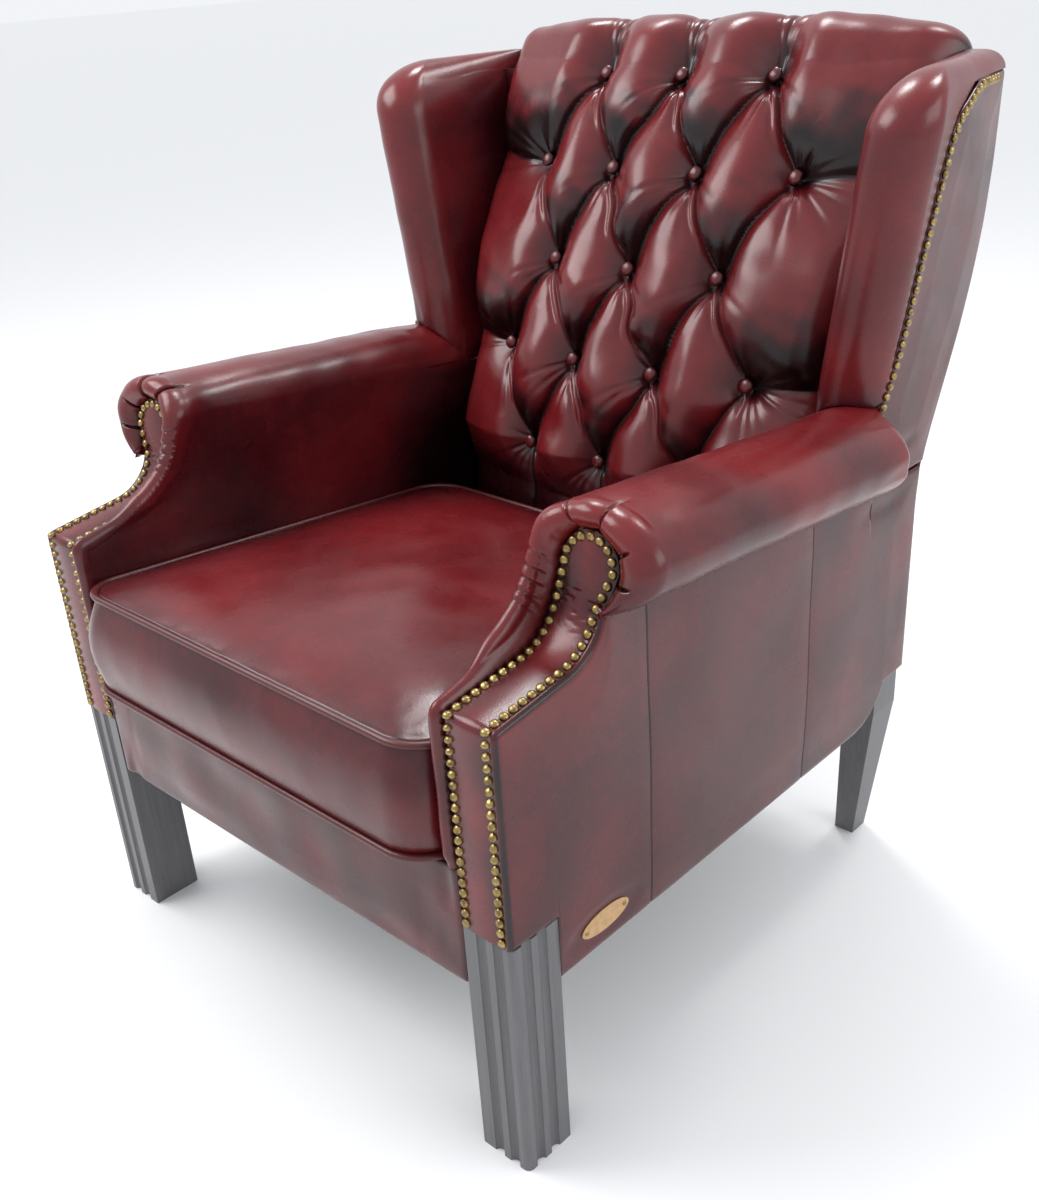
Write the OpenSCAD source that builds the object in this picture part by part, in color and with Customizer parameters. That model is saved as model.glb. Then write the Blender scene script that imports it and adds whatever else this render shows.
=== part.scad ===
// Wing chair in buttoned leather: set-back scroll arms, a deep-buttoned back
// with a diamond pattern, moulded front legs and a loose seat cushion.
// Millimetres, +Z up, the front of the chair faces -Y.

/* [Body] */
// Width over the outside arms
body_w = 770; // [750:1:790]
// Clear width between the inside arms
seat_w = 604; // [596:1:612]
// Depth from the face of the front legs to the rear of the frame at seat height
body_d = 763; // [750:1:780]
// Height of the top of the back frame
frame_h = 1000; // [985:1:1015]
// How far the back leans rearwards over its height
back_lean = 129; // [120:1:136]
// Height of the underside of the seat frame above the floor
rail_z = 223; // [212:1:232]
// Thickness of a covered outer panel
cover_t = 6; // [5.5:0.1:6.5]

/* [Front legs] */
// Side of the square front leg
leg_size = 66.5; // [64:0.5:69]
// Height of the front leg that shows below the leather
leg_show = 302; // [296:1:308]
// Radius of the flutes in the two show faces
flute_r = 7; // [6:0.5:8]
// Depth of the flutes
flute_depth = 5; // [4:0.5:5.5]
// Rounding of the show corner
leg_corner_r = 8; // [6:0.5:9]

/* [Rear legs] */
// Width of the rear leg at its top
rear_leg_w = 45; // [42:1:48]
// Width of the rear foot
rear_foot_w = 28; // [26:1:34]
// Depth of the rear foot
rear_foot_d = 32; // [28:1:40]
// How far the rear foot stands inwards of the leg's top
rear_splay = 34; // [24:1:40]
// How far the rear foot stands behind the leg's top
rear_kick = 6; // [0:1:20]
// Height of the top of the rear leg
rear_leg_h = 274; // [266:1:280]

/* [Arms] */
// Height of the arm front where it turns back
shoulder_h = 547; // [541:1:553]
// Length of the shoulder along the top of the arm front
shoulder_run = 100; // [95:1:105]
// Radius of the sweep from the shoulder up to the scroll
sweep_r = 65; // [62:1:68]
// Height of the arm's roll axis at the scroll above the front of the shoulder
scroll_up = 107; // [103:1:111]
// Half height of the arm roll
roll_rise = 52; // [49:1:55]
// How far the arm roll overhangs the outside arm
roll_over = 57; // [54:1:60]
// Radius of the scroll's facing
head_r = 36; // [34:0.5:38]
// Thickness of the inside arm's padding
arm_pad_t = 24; // [22:0.5:26]
// How far the inside arm stands proud of the facing
pad_proud = 6; // [5:0.5:7]
// Thickness of the arm rail
arm_rail_t = 20; // [18:1:22]
// Width of the arm rail
arm_rail_w = 84; // [80:1:88]
// Thickness of the scroll board
scroll_t = 18; // [15:1:20]

/* [Seat] */
// Height of the seat platform at the front
seat_z = 370; // [364:1:376]
// Thickness of the seat platform's pad
deck_t = 12; // [10:1:14]
// Thickness of the seat rails
rail_t = 26; // [24:1:28]
// Thickness of the webbing
web_t = 3; // [2:0.5:3]
// Width of a webbing band
web_w = 50; // [44:1:56]

/* [Cushion] */
// How far the cushion stands forward of the legs
cushion_front = 34; // [28:1:38]
// Distance of the cushion's rear edge in front of the rear of the frame
cushion_back = 185; // [183:1:197]
// Height of the cushion between its two pipings
cushion_h = 124; // [116:1:132]
// Extra height of the cushion's crown
cushion_crown = 32; // [26:1:36]
// Diameter of the piping
piping_d = 8; // [7:0.5:9]

/* [Back] */
// Height of the lowest row of buttons
button_z = 530; // [524:1:536]
// Distance of the lowest row of buttons in front of the rear of the frame
button_back = 148; // [143:1:151]
// Distance between two rows of buttons as a share of the height from the lowest
// row to the top of the frame
row_share = 0.268; // [0.262:0.001:0.274]
// Distance between two buttons in a row
button_pitch = 133; // [128:1:137]
// Radius of the back's curve
back_r = 1220; // [1200:10:1260]
// Height of the leather's bulge between the buttons
bulge = 38; // [34:1:40]
// Radius of the roll over the top of the back
top_roll_r = 45; // [43:1:47]
// Diameter of a covered button
button_d = 19; // [17:0.5:21]
// Front to rear thickness of the back frame
upright_d = 55; // [52:1:58]

/* [Wings] */
// Distance of the wing's front roll axis in front of the rear of the frame
wing_back = 98; // [94:1:102]
// Radius of the wing's front roll
wing_r = 42; // [40:0.5:43]
// Height above which the wings flare outwards, as a share of the frame's height
flare_share = 0.67; // [0.664:0.001:0.676]
// Outward reach of the flare at the top of the frame
flare_out = 48; // [42:1:52]
// Thickness of the wing board
wing_board_t = 20; // [18:1:22]

/* [Trim] */
// Distance between two nails in a row
nail_pitch = 12.2; // [11.8:0.1:13]
// Diameter of a nail head
nail_d = 9.4; // [9:0.1:10]
// Height of a nail head
nail_h = 3; // [2.5:0.1:3.5]
// Length of the oval plate
plate_w = 75; // [70:1:80]
// Height of the oval plate
plate_h = 27; // [25:1:30]
// Thickness of the oval plate
plate_t = 1; // [0.8:0.1:1.5]

/* [Hidden] */

// Overrun of a cut past the piece it cuts
over = 40;
// Clearance between two soft pieces
soft_gap = 0.3;
// Pitch of the seat and fall of the arms towards the back, in degrees
seat_pitch = 5.4;
arm_fall = 5;
// Tilt of the shoulder and lean of the scroll's face, in degrees
shoulder_tilt = 7.4;
scroll_lean = 11;
// Lean of the back at the lowest buttons, in degrees
row_lean = 10.5;
// Height of the narrow neck of the scroll's facing above the shoulder, and how far
// its head lies below the axis of the roll
neck_up = 53;
head_drop = 12;
// How far the head's centre lies inside the outside arm
head_in = 24.5;
// Distance from the inside arm to the crest of the roll
crest_in = 56;
// How far the roll's front is rounded back
roll_round = 22;
// Height of the seam between the outside arm and the outside wing above the shoulder
seam_up = 13;
// Thickness of the dust cover
dust_t = 2;
// Thickness of the lining board of the inside arm
lining_t = 6;
// Height and length of the moulding round the rear leg
arch_run = 60;
arch_rise = 38;
// Height of the lower back rail, and how far its underside lies below the platform
lower_rail_h = 50;
lower_rail_drop = 34;
// Height of the top rail
top_rail_h = 55;
// Legs of the triangular corner blocks, and their height
block_leg = 70;
block_h = 40;
// Corner block screws: shank, head, length, and distance from the middle of the
// block's long face
screw_d = 6;
screw_head_d = 11;
screw_head_h = 3;
screw_len = 26;
screw_off = 14;
// Convexity of the back across its width: how far the sides lie behind the middle
back_wrap = 54;
// Width of the roundings at the sides of the back and how far they fall away
back_edge_r = 46;
back_edge_fall = 22;
// Gap round the back to the wings and the webbing, and its half width at the top
back_gap = 1.5;
back_top_half = 337;
// Height of a button's dome, depth of its tapered underside and width of its tip
button_h = 6.5;
button_seat = 11;
tack_d = 1;
// Distance from the edge of the facing to its nail rows, and how much further in the
// outer row stands below the neck
nail_edge = 7;
nail_inward = 5;
// Depth of the plate's centre from the face of the front legs, and its height above
// the underside of the seat frame
plate_y = 138;
plate_up = 33;
// Plate screws
plate_screw_d = 6;
plate_screw_h = 1.4;
plate_screw_in = 7;

half = body_w / 2;
inner = seat_w / 2;
arm_axis_z = shoulder_h + scroll_up;
neck_z = shoulder_h + neck_up;
head_z = arm_axis_z - head_drop;
seam_z = shoulder_h + seam_up;
wing_y = body_d - wing_back;
flare_z = flare_share * frame_h;
button_y = body_d - button_back;
row_pitch = row_share * (frame_h - button_z);
cushion_d = body_d - cushion_back + cushion_front;
lower_rail_z = seat_z - lower_rail_drop;
plate_z = rail_z + plate_up;
wood_x = half - cover_t;
lining_x = inner + arm_pad_t;
post_x = lining_x + lining_t;
face_x = half - leg_size;
head_x = half - head_in;
deck_back = body_d - cover_t - upright_d - web_t;
upright_x = wood_x - rear_leg_w;
web_drop = deck_t + web_t;

// Outline of the rear of the chair: height as a share of the frame's height,
// and depth behind the body as a share of the back's lean
rear_line_shares = [
    [0.1, 0], [0.52, 0], [0.56, 0.05], [0.6, 0.17], [0.65, 0.36], [0.71, 0.58],
    [0.77, 0.75], [0.83, 0.88], [0.9, 0.96], [1, 1], [1.1, 1]
];
rear_line = [for (p = rear_line_shares) [p[0] * frame_h, body_d + p[1] * back_lean]];
function rear_y(z) = lookup(z, rear_line);
function upright_y(z) = rear_y(z) - cover_t - upright_d;
function levels(z0, z1) = concat([z0], [for (p = rear_line) if (p[0] > z0 && p[0] < z1) p[0]], [z1]);
function back_pts(inset, z0, z1) = [for (z = levels(z0, z1)) [rear_y(z) - inset, z]];
function flip(list) = [for (i = [len(list) - 1:-1:0]) list[i]];
// A strip that follows the rear outline between two insets
function back_strip(in0, in1, z0, z1) = concat(back_pts(in0, z0, z1), flip(back_pts(in1, z0, z1)));

// Height of the seat platform, or of a plane below it, at a depth
function seat_line(y, below) = seat_z - y * tan(seat_pitch) - below / cos(seat_pitch);
// Depth of the scroll behind the shoulder, and height of the roll's axis at a depth
scroll_behind = 70;
scroll_y = shoulder_run + scroll_behind;
function axis_z(y) = arm_axis_z - (y - scroll_y) * tan(arm_fall);

// Side outline of the arm front, inset by o: shoulder, sweep and leaning scroll
sweep_steps = 16;
function shoulder_z(y) = shoulder_h + y * tan(shoulder_tilt);
sweep_c = [shoulder_run, shoulder_z(shoulder_run)] + sweep_r * [-sin(shoulder_tilt), cos(shoulder_tilt)];
function sweep_pt(a, o) = sweep_c + (sweep_r + o) * [sin(a), -cos(a)];
function sweep_pts(o) = [for (i = [0:sweep_steps])
    sweep_pt(shoulder_tilt + (90 - scroll_lean - shoulder_tilt) * i / sweep_steps, o)];
function sweep_end(o) = sweep_pt(90 - scroll_lean, o);
function lean_pt(o, t) = sweep_end(o) + t * [sin(scroll_lean), cos(scroll_lean)];
function lean_y(o, z) = sweep_end(o)[0] + (z - sweep_end(o)[1]) * tan(scroll_lean);
function corner_pt(o) = [o, shoulder_z(o) - o / cos(shoulder_tilt)];
function arm_front_pts(o) = concat([corner_pt(o)], sweep_pts(o));

// The half space behind a line that runs in front of the rear outline
function behind(inset, z0) = concat(back_pts(inset, z0, frame_h), [[2 * body_d, frame_h], [2 * body_d, z0]]);

// Extrudes a drawing in depth and height across the width from x0 to x1
module across(x0, x1) {
    translate([x0, 0, 0]) rotate([90, 0, 90]) linear_extrude(x1 - x0) children();
}
// Extrudes a drawing in width and height along the depth from y0 to y1
module along(y0, y1) {
    translate([0, y1, 0]) rotate([90, 0, 0]) linear_extrude(y1 - y0) children();
}
// Places a piece at the left hand, or mirrored at the right hand, of the sitter
module side(s) {
    if (s > 0) place() children();
    else place() mirror([1, 0, 0]) children();
}
// The seat's own frame: its front edge on the platform, pitched down to the back
module on_seat() {
    translate([0, 0, seat_z]) rotate([-seat_pitch, 0, 0]) children();
}
// Sets the middle of the chair's depth over the origin
back_overhang = 8;
front_reach = cushion_front;
rear_reach = body_d + back_lean + back_overhang;
module place() {
    translate([0, (front_reach - rear_reach) / 2, 0]) children();
}

// A closed skin over a list of rings with as many points each, with fan ends;
// the rings run clockwise seen from the last one. Where depths are given, each
// quad folds along its deeper diagonal.
module skin(rings, deep = []) {
    n = len(rings[0]);
    m = len(rings);
    pts = [for (r = rings) for (p = r) p];
    walls = [for (j = [0:m - 2]) for (i = [0:n - 1]) let (k = (i + 1) % n, a = j * n + i, b = j * n + k)
        each len(deep) > 0 && deep[j][i] + deep[j + 1][k] < deep[j][k] + deep[j + 1][i]
            ? [[a, b, a + n], [b, b + n, a + n]] : [[a, b, b + n], [a, b + n, a + n]]];
    low = [for (i = [1:n - 2]) [0, i + 1, i]];
    high = [for (i = [1:n - 2]) let (a = (m - 1) * n) [a, a + i, a + i + 1]];
    polyhedron(points = pts, faces = concat(low, walls, high), convexity = 6);
}

// Legs

// Places of the two flutes across a show face
flute_shares = [0.36, 0.7];

module leg_section() {
    difference() {
        square(leg_size);
        for (share = flute_shares) {
            translate([leg_size * share, flute_depth - flute_r]) circle(r = flute_r, $fn = 32);
            translate([leg_size - flute_depth + flute_r, leg_size * (1 - share)])
                circle(r = flute_r, $fn = 32);
        }
        difference() {
            translate([leg_size - leg_corner_r, -leg_corner_r]) square(2 * leg_corner_r);
            translate([leg_size - leg_corner_r, leg_corner_r]) circle(r = leg_corner_r, $fn = 32);
        }
    }
}

module front_leg() {
    color("#2b2a2d")
    translate([face_x, 0, 0]) linear_extrude(leg_show) leg_section();
}

module rear_leg() {
    top_y = body_d - cover_t - upright_d;
    top = [[upright_x, top_y], [upright_x, top_y + upright_d], [wood_x, top_y + upright_d], [wood_x, top_y]];
    foot_x = wood_x - rear_splay - rear_foot_w;
    foot_y = top_y + upright_d + rear_kick - rear_foot_d;
    foot = [[foot_x, foot_y], [foot_x, foot_y + rear_foot_d],
        [foot_x + rear_foot_w, foot_y + rear_foot_d], [foot_x + rear_foot_w, foot_y]];
    color("#2b2a2d")
    skin([
        [for (p = foot) [p[0], p[1], 0]], [for (p = top) [p[0], p[1], rail_z]],
        [for (p = top) [p[0], p[1], rear_leg_h]]
    ]);
}

// Seat frame

frame_low = rail_z + dust_t;
// The lower edge of the side, which rises in an arch in front of the rear leg
arch_shares = [[0, 0], [0.35, 0.1], [0.65, 0.38], [0.85, 0.74], [1, 1]];
arch_y = body_d - cover_t - upright_d;
function arch_pts(z) = [for (p = arch_shares) [arch_y - arch_run * (1 - p[0]), z + p[1] * arch_rise]];

module front_rail() {
    color("burlywood") across(-face_x, face_x) polygon([
        [cover_t, frame_low], [cover_t + rail_t, frame_low],
        [cover_t + rail_t, seat_line(cover_t + rail_t, web_drop)], [cover_t, seat_line(cover_t, web_drop)]
    ]);
}

module rear_rail() {
    y1 = body_d - cover_t;
    y0 = y1 - rail_t;
    color("burlywood") across(-upright_x, upright_x) polygon([
        [y0, frame_low], [y1, frame_low], [y1, seat_line(y1, web_drop)], [y0, seat_line(y0, web_drop)]
    ]);
}

module side_rail() {
    drop = web_drop + web_t;
    color("burlywood") across(wood_x - rail_t, wood_x) polygon(concat(
        [[leg_size, frame_low]], arch_pts(frame_low),
        [[arch_y, seat_line(arch_y, drop)], [leg_size, seat_line(leg_size, drop)]]
    ));
}

block_z = frame_low + dust_t;
module at_corners() {
    for (s = [-1, 1]) {
        translate([s * face_x, cover_t + rail_t]) scale_x(s) children();
        translate([s * upright_x, body_d - cover_t - rail_t]) scale_x(s) mirror([0, 1, 0]) children();
    }
}
module scale_x(s) {
    if (s > 0) mirror([1, 0, 0]) children();
    else children();
}

module corner_blocks() {
    color("tan") place() difference() {
        translate([0, 0, block_z]) at_corners() linear_extrude(block_h)
            polygon([[0, 0], [block_leg, 0], [0, block_leg]]);
        screw_shanks();
    }
}

// Two screws in each corner block, square to its long face
module at_screws() {
    for (t = [-screw_off, screw_off]) translate([0, 0, block_z + block_h / 2]) at_corners()
        translate([block_leg / 2 + t, block_leg / 2 - t, 0]) rotate([0, 90, 45]) children();
}
module screw_shanks() {
    at_screws() translate([0, 0, -screw_len]) cylinder(d = screw_d, h = screw_len, $fn = 24);
}

module corner_block_screws() {
    color("silver") place() {
        at_screws() cylinder(d1 = screw_head_d, d2 = screw_d, h = screw_head_h, $fn = 24);
        screw_shanks();
    }
}

// Space beside the outer bands as a part of one band's pitch
web_margin = 0.4;

module seat_webbing() {
    span = body_w - 2 * cover_t;
    depth = body_d - cover_t;
    long_n = 5;
    cross_n = 4;
    color("#6b4a2f") place() on_seat() {
        for (i = [0:long_n - 1])
            let (x = (i - (long_n - 1) / 2) * seat_w / (long_n + web_margin))
            translate([x - web_w / 2, 2 * cover_t, -web_drop]) cube([web_w, depth - 3 * cover_t, web_t]);
        for (i = [0:cross_n - 1])
            translate([-span / 2, leg_size * 2 + i * (depth - 3 * leg_size) / cross_n, -web_drop - web_t])
                cube([span, web_w, web_t]);
    }
}

module seat_deck() {
    color("#3a1518") place() difference() {
        on_seat() translate([-lining_x, cover_t, -deck_t])
            cube([2 * lining_x, deck_back, deck_t]);
        translate([-half, deck_back, 0]) cube([body_w, over, seat_z]);
        translate([-half, -over, 0]) cube([body_w, over + cover_t, 2 * seat_z]);
    }
}

module front_border() {
    lip = cover_t;
    lip_in = lip / 6;
    top = seat_line(0, 0);
    color("#5a1a20") place() across(-face_x, face_x) polygon([
        [0, rail_z], [cover_t, rail_z], [cover_t, top - cover_t * tan(seat_pitch)],
        [lip / 2, top - lip_in], [lip_in, top - lip / 2], [0, top - lip]
    ]);
}

module dust_cover() {
    color("#1c1c1e") place() translate([0, 0, rail_z]) linear_extrude(dust_t) polygon([
        [-face_x, cover_t], [face_x, cover_t], [face_x, leg_size], [wood_x, leg_size],
        [wood_x, arch_y - arch_run], [upright_x, arch_y - arch_run], [upright_x, body_d - cover_t],
        [-upright_x, body_d - cover_t], [-upright_x, arch_y - arch_run], [-wood_x, arch_y - arch_run],
        [-wood_x, leg_size], [-face_x, leg_size]
    ]);
}

// Arm frame

board_in = cover_t + scroll_t;

module facing_outline() {
    polygon([
        [face_x, leg_show], [half, leg_show], [half, neck_z], [head_x + head_r, head_z],
        [head_x - head_r, head_z], [face_x, neck_z]
    ]);
    translate([head_x, head_z]) circle(r = head_r, $fn = 48);
}

module arm_post() {
    color("burlywood") across(post_x, wood_x) polygon(concat(
        [[cover_t, leg_show]], arm_front_pts(cover_t),
        [sweep_end(board_in), lean_pt(board_in, -2 * scroll_t), [leg_size, shoulder_h - leg_size],
        [leg_size, leg_show]]
    ));
}

module scroll_board() {
    color("tan") intersection() {
        across(head_x - head_r - over, head_x + head_r + over) polygon([
            lean_pt(cover_t, 0), lean_pt(cover_t, 2 * head_r + over),
            lean_pt(board_in, 2 * head_r + over), lean_pt(board_in, 0)
        ]);
        along(0, body_d) facing_outline();
    }
}

rail_top_up = 14;
rail_front_y = lean_y(board_in, arm_axis_z);
rail_back_y = upright_y(axis_z(deck_back));
function rail_top(y) = axis_z(y) + rail_top_up;
function rail_under(y) = rail_top(y) - arm_rail_t;
// Front corners of the arm rail on the rear of the scroll board
rail_low_y = lean_y(board_in, rail_under(lean_y(board_in, rail_under(rail_front_y))));
rail_high_y = lean_y(board_in, rail_top(lean_y(board_in, rail_top(rail_front_y))));
rail_low = [rail_low_y, rail_under(rail_low_y)];

module arm_rail_side() {
    polygon([
        rail_low, [rail_high_y, rail_top(rail_high_y)],
        [body_d, rail_top(body_d)], [body_d, rail_under(body_d)]
    ]);
}

module arm_rail() {
    color("burlywood") difference() {
        across(lining_x, lining_x + arm_rail_w) arm_rail_side();
        translate([wood_x, arm_end_y - 2 * cover_t, 0]) cube([over, body_d, frame_h]);
        across(lining_x, half) polygon(behind(cover_t + upright_d, seat_z));
    }
}

// Rear end of the arm roll, where the outside wing begins
arm_end_y = wing_y - wing_r / 2;

module arm_lining() {
    color("#8a6a4a") across(lining_x, post_x) polygon(concat(
        [[cover_t, seat_line(cover_t, 0)]], arm_front_pts(cover_t),
        [sweep_end(board_in), rail_low],
        [[upright_y(rail_under(rail_back_y)), rail_under(upright_y(rail_under(rail_back_y)))]],
        flip(back_pts(cover_t + upright_d, seat_line(arch_y, 0), rail_under(rail_back_y) - cover_t))
    ));
}

module facing() {
    color("#5a1a20") intersection() {
        across(face_x - over, half + over) polygon(concat(
            [[0, leg_show]], arm_front_pts(0), [lean_pt(0, 2 * head_r + over)],
            [lean_pt(cover_t, 2 * head_r + over)], flip(arm_front_pts(cover_t)), [[cover_t, leg_show]]
        ));
        along(-over, body_d) facing_outline();
    }
}

// Outside arm, with its seam at the top and its arch round the rear leg

module outside_arm() {
    y1 = arm_end_y;
    color("#6a2a30") across(wood_x, half) polygon(concat(
        [[leg_size, rail_z]], arch_pts(rail_z), [[body_d - cover_t, rear_leg_h]],
        back_pts(0, rear_leg_h, seam_z),
        [[y1, seam_z], [y1, rail_under(y1)], rail_low, sweep_end(board_in)],
        flip(arm_front_pts(cover_t)), [[cover_t, leg_show], [leg_size, leg_show]]
    ));
}

// Arm roll: two half ovals with their crest over the arm rail

roll_n = 36;
function oval_pt(a, inset) = [
    inner + crest_in
        + (cos(a) < 0 ? crest_in - inset : half + roll_over - inner - crest_in - inset) * cos(a),
    (roll_rise - inset) * sin(a)
];
function roll_ring(run, inset) = [for (i = [0:roll_n - 1])
    let (p = oval_pt((i + 0.5) * 360 / roll_n, inset)) [p[0], run, p[1]]];
round_shares = [[0, 1], [0.06, 0.62], [0.2, 0.32], [0.5, 0.08], [1, 0]];

module arm_roll() {
    translate([0, scroll_y, arm_axis_z]) rotate([-arm_fall, 0, 0])
        skin([for (r = concat(
            [for (p = round_shares) [(p[0] - 1 / 2) * roll_round, p[1] * roll_round]],
            [[body_d - scroll_y, 0]]
        )) roll_ring(r[0], r[1])]);
}

// The inside arm's side outline: it stands o proud of the facing
module arm_side(o) {
    polygon(concat(
        [[-o, rail_z]], arm_front_pts(-o),
        [[scroll_y, arm_axis_z], [body_d, axis_z(body_d)], [body_d, rail_z]]
    ));
}

module arm_pad() {
    color("#6d2026") difference() {
        union() {
            across(inner, face_x) arm_side(pad_proud);
            across(face_x, lining_x) arm_side(-cover_t);
            arm_roll();
        }
        // space of the frame below the arm rail, up into the rail's thickness
        across(lining_x, half) polygon([
            [lean_y(cover_t, seat_z), 0], [lean_y(0, neck_z) - over, neck_z / 2],
            [rail_front_y - over, rail_under(rail_front_y - over) + lining_t / 2],
            [body_d, rail_under(body_d) + lining_t / 2], [body_d, 0]
        ]);
        arm_rail();
        // recess of the scroll board and its facing
        intersection() {
            across(face_x - over, half + over) polygon([
                lean_pt(-over, -over), lean_pt(-over, 2 * head_r + over),
                lean_pt(board_in, 2 * head_r + over), lean_pt(board_in, -over)
            ]);
            along(0, body_d) facing_outline();
        }
        // the wing stands behind the roll, outside the lining
        translate([wood_x - wing_board_t, arm_end_y, 0]) cube([half, body_d, frame_h]);
        across(inner - over, half + over) polygon(behind(cover_t + upright_d, rail_z));
        // the seat platform stands under the inside arm
        across(inner - over, half + over)
            polygon([
                [-over, 0], [-over, seat_line(-over, 0)],
                [2 * body_d, seat_line(2 * body_d, 0)], [2 * body_d, 0]
            ]);
    }
}

// Back frame

module back_upright() {
    color("burlywood") across(upright_x, wood_x)
        polygon(back_strip(cover_t, cover_t + upright_d, rear_leg_h, frame_h));
}

module top_rail() {
    color("burlywood") place() across(-upright_x, upright_x)
        polygon(back_strip(cover_t, cover_t + upright_d, frame_h - top_rail_h, frame_h));
}

module lower_back_rail() {
    color("burlywood") place() across(-upright_x, upright_x)
        polygon(back_strip(cover_t, cover_t + upright_d, lower_rail_z, lower_rail_z + lower_rail_h));
}

module back_webbing() {
    inset = cover_t + upright_d;
    bands = 5;
    color("#6b4a2f") place() for (i = [0:bands - 1])
        let (x = (i - (bands - 1) / 2) * seat_w / (bands + web_margin))
        across(x - web_w / 2, x + web_w / 2)
            polygon(back_strip(inset, inset + web_t, lower_rail_z, frame_h));
}

module outside_back() {
    color("#5a1a20") place() intersection() {
        across(-wood_x, wood_x) polygon(back_strip(0, cover_t, rail_z, frame_h));
        along(0, 2 * body_d) polygon([
            [-upright_x, 0], [upright_x, 0], [upright_x, rear_leg_h], [half, rear_leg_h],
            [half, 2 * frame_h], [-half, 2 * frame_h], [-half, rear_leg_h], [-upright_x, rear_leg_h]
        ]);
    }
}

// Wings

function flare(z) = z < flare_z ? 0 : flare_out * (z - flare_z) / (frame_h - flare_z);
// Front edge of the outside wing: height as a share of the frame's height, and
// depth behind the end of the arm roll as a share of the edge's reach
nail_line_shares = [
    [0.56, 0], [0.65, 0], [0.71, 0.14], [0.77, 0.185], [0.83, 0.22], [0.9, 0.3],
    [0.95, 0.36], [0.973, 0.47], [0.99, 0.68], [1, 1]
];
nail_reach = 159;
function nail_y(z) = arm_end_y + nail_reach * lookup(z / frame_h, nail_line_shares);
level_shares = concat([rear_line_shares[4][0], flare_share], [for (i = [2:9]) nail_line_shares[i][0]]);
wing_levels = concat([seam_z], [for (p = level_shares) if (p * frame_h > seam_z + cover_t) p * frame_h]);
// Width of the wing's outer face at a height and depth: flared at the front,
// straight at the rear
function wing_x(z, y) = half + flare(z) * (rear_y(z) - y) / (rear_y(z) - wing_y);

// The outside wing, or the same shape reaching out by o to cut with
module outside_wing_skin(o) {
    skin([for (z = wing_levels) let (y = nail_y(z), x = wing_x(z, y), r = rear_y(z)) [
        [half + o, r + o, z], [x + o, y, z], [x - cover_t, y, z],
        [wood_x, upright_y(z), z], [wood_x, r + o, z]
    ]]);
}

module outside_wing() {
    color("#6a2a30") outside_wing_skin(0);
}

wing_board_top = frame_h - cover_t;
board_back = 8;
function board_y(z) = max(wing_y, nail_y(z) - board_back);
board_levels = concat([for (z = wing_levels) if (z < wing_board_top) z], [wing_board_top]);
module wing_board_body(low) {
    skin([for (z = board_levels) let (u = upright_y(z), y = board_y(z), x = wing_x(z, y), t = wing_board_t,
        h = max(z, low)) [[x - cover_t - t, y, h], [wood_x - t, u, h], [half, u, h], [x - cover_t, y, h]]]);
}
module wing_board() {
    color("tan") difference() {
        wing_board_body(seam_z);
        outside_wing_skin(over);
        across(lining_x, half + flare_out) polygon([
            [0, 0], [0, rail_top(0)], [2 * body_d, rail_top(2 * body_d)], [2 * body_d, 0]
        ]);
        across(upright_x, half) polygon(behind(cover_t + upright_d, seat_z));
    }
}

// Inner face of the wing: flared at the front, held to the back's width at the rear
function wing_in(z) = half + flare(z) - 2 * wing_r;
function wing_in_rear(z) = min(wing_in(z), back_top_half + 2 * soft_gap);
wing_steps = 8;
// Crest of the wing above the frame, and the rounding of its front top corner
wing_crest = 22;
crest_round = 60;
crest_steps = 6;
crest_side = 0.8 * wing_r;
// Share by which a crest of quarter-round section has drawn in at a share of its height
crest_share = 0.97;
function drawn_in(t) = 1 - sqrt(1 - t * t * crest_share);

// One level of the wing's padding, drawn in by c at its sides and b at its front
function wing_ring(z, c, b) = let (
        h = min(z, frame_h), r = wing_r - c, xc = half + flare(h) - wing_r, yc = wing_y + b,
        rear = rear_y(h) - c / 2, step = 180 / wing_steps
    ) concat(
        [for (i = [0:wing_steps]) [xc + r * cos(i * step), yc - r * sin(i * step), z]],
        [[wing_in_rear(h) + c / 2, rear, z], [half - c / 2, rear, z]]
    );
wing_round_z = frame_h - 2 * wing_crest;

module wing_pad() {
    zs = concat(
        [axis_z(wing_y) - roll_rise / 2], [for (z = wing_levels) if (z >= flare_z && z < wing_round_z) z]
    );
    top = frame_h + wing_crest - wing_round_z;
    color("#6d2026") difference() {
        skin(concat([for (z = zs) wing_ring(z, 0, 0)],
            [for (i = [0:crest_steps]) let (t = sin(90 * i / crest_steps))
                wing_ring(wing_round_z + top * t, crest_side * drawn_in(t), crest_round * drawn_in(t))]));
        outside_wing_skin(over);
        wing_board_body(seam_z);
        arm_roll();
        across(inner - over, face_x + over)
            polygon([[0, 0], [0, axis_z(0)], [2 * body_d, axis_z(2 * body_d)], [2 * body_d, 0]]);
        across(inner - over, half + over) polygon(behind(cover_t + upright_d, seat_z));
    }
}

// Buttoned back

hx = button_pitch / 2;
rows = 5;
// Facets of the pad from one row or column of folds to the next
cells = 4;
// Depth and height of the back's curve at a distance s above the lowest row
function curve_a(s) = row_lean + s / back_r * 180 / PI;
function curve_y(s) = button_y + back_r * (cos(row_lean) - cos(curve_a(s)));
function curve_z(s) = button_z + back_r * (sin(curve_a(s)) - sin(row_lean));
s_top = (rows - 1) * row_pitch;
top_a = curve_a(s_top);
top_straight = 15;
roll_end_a = 150;
roll_n_top = 7;
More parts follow.
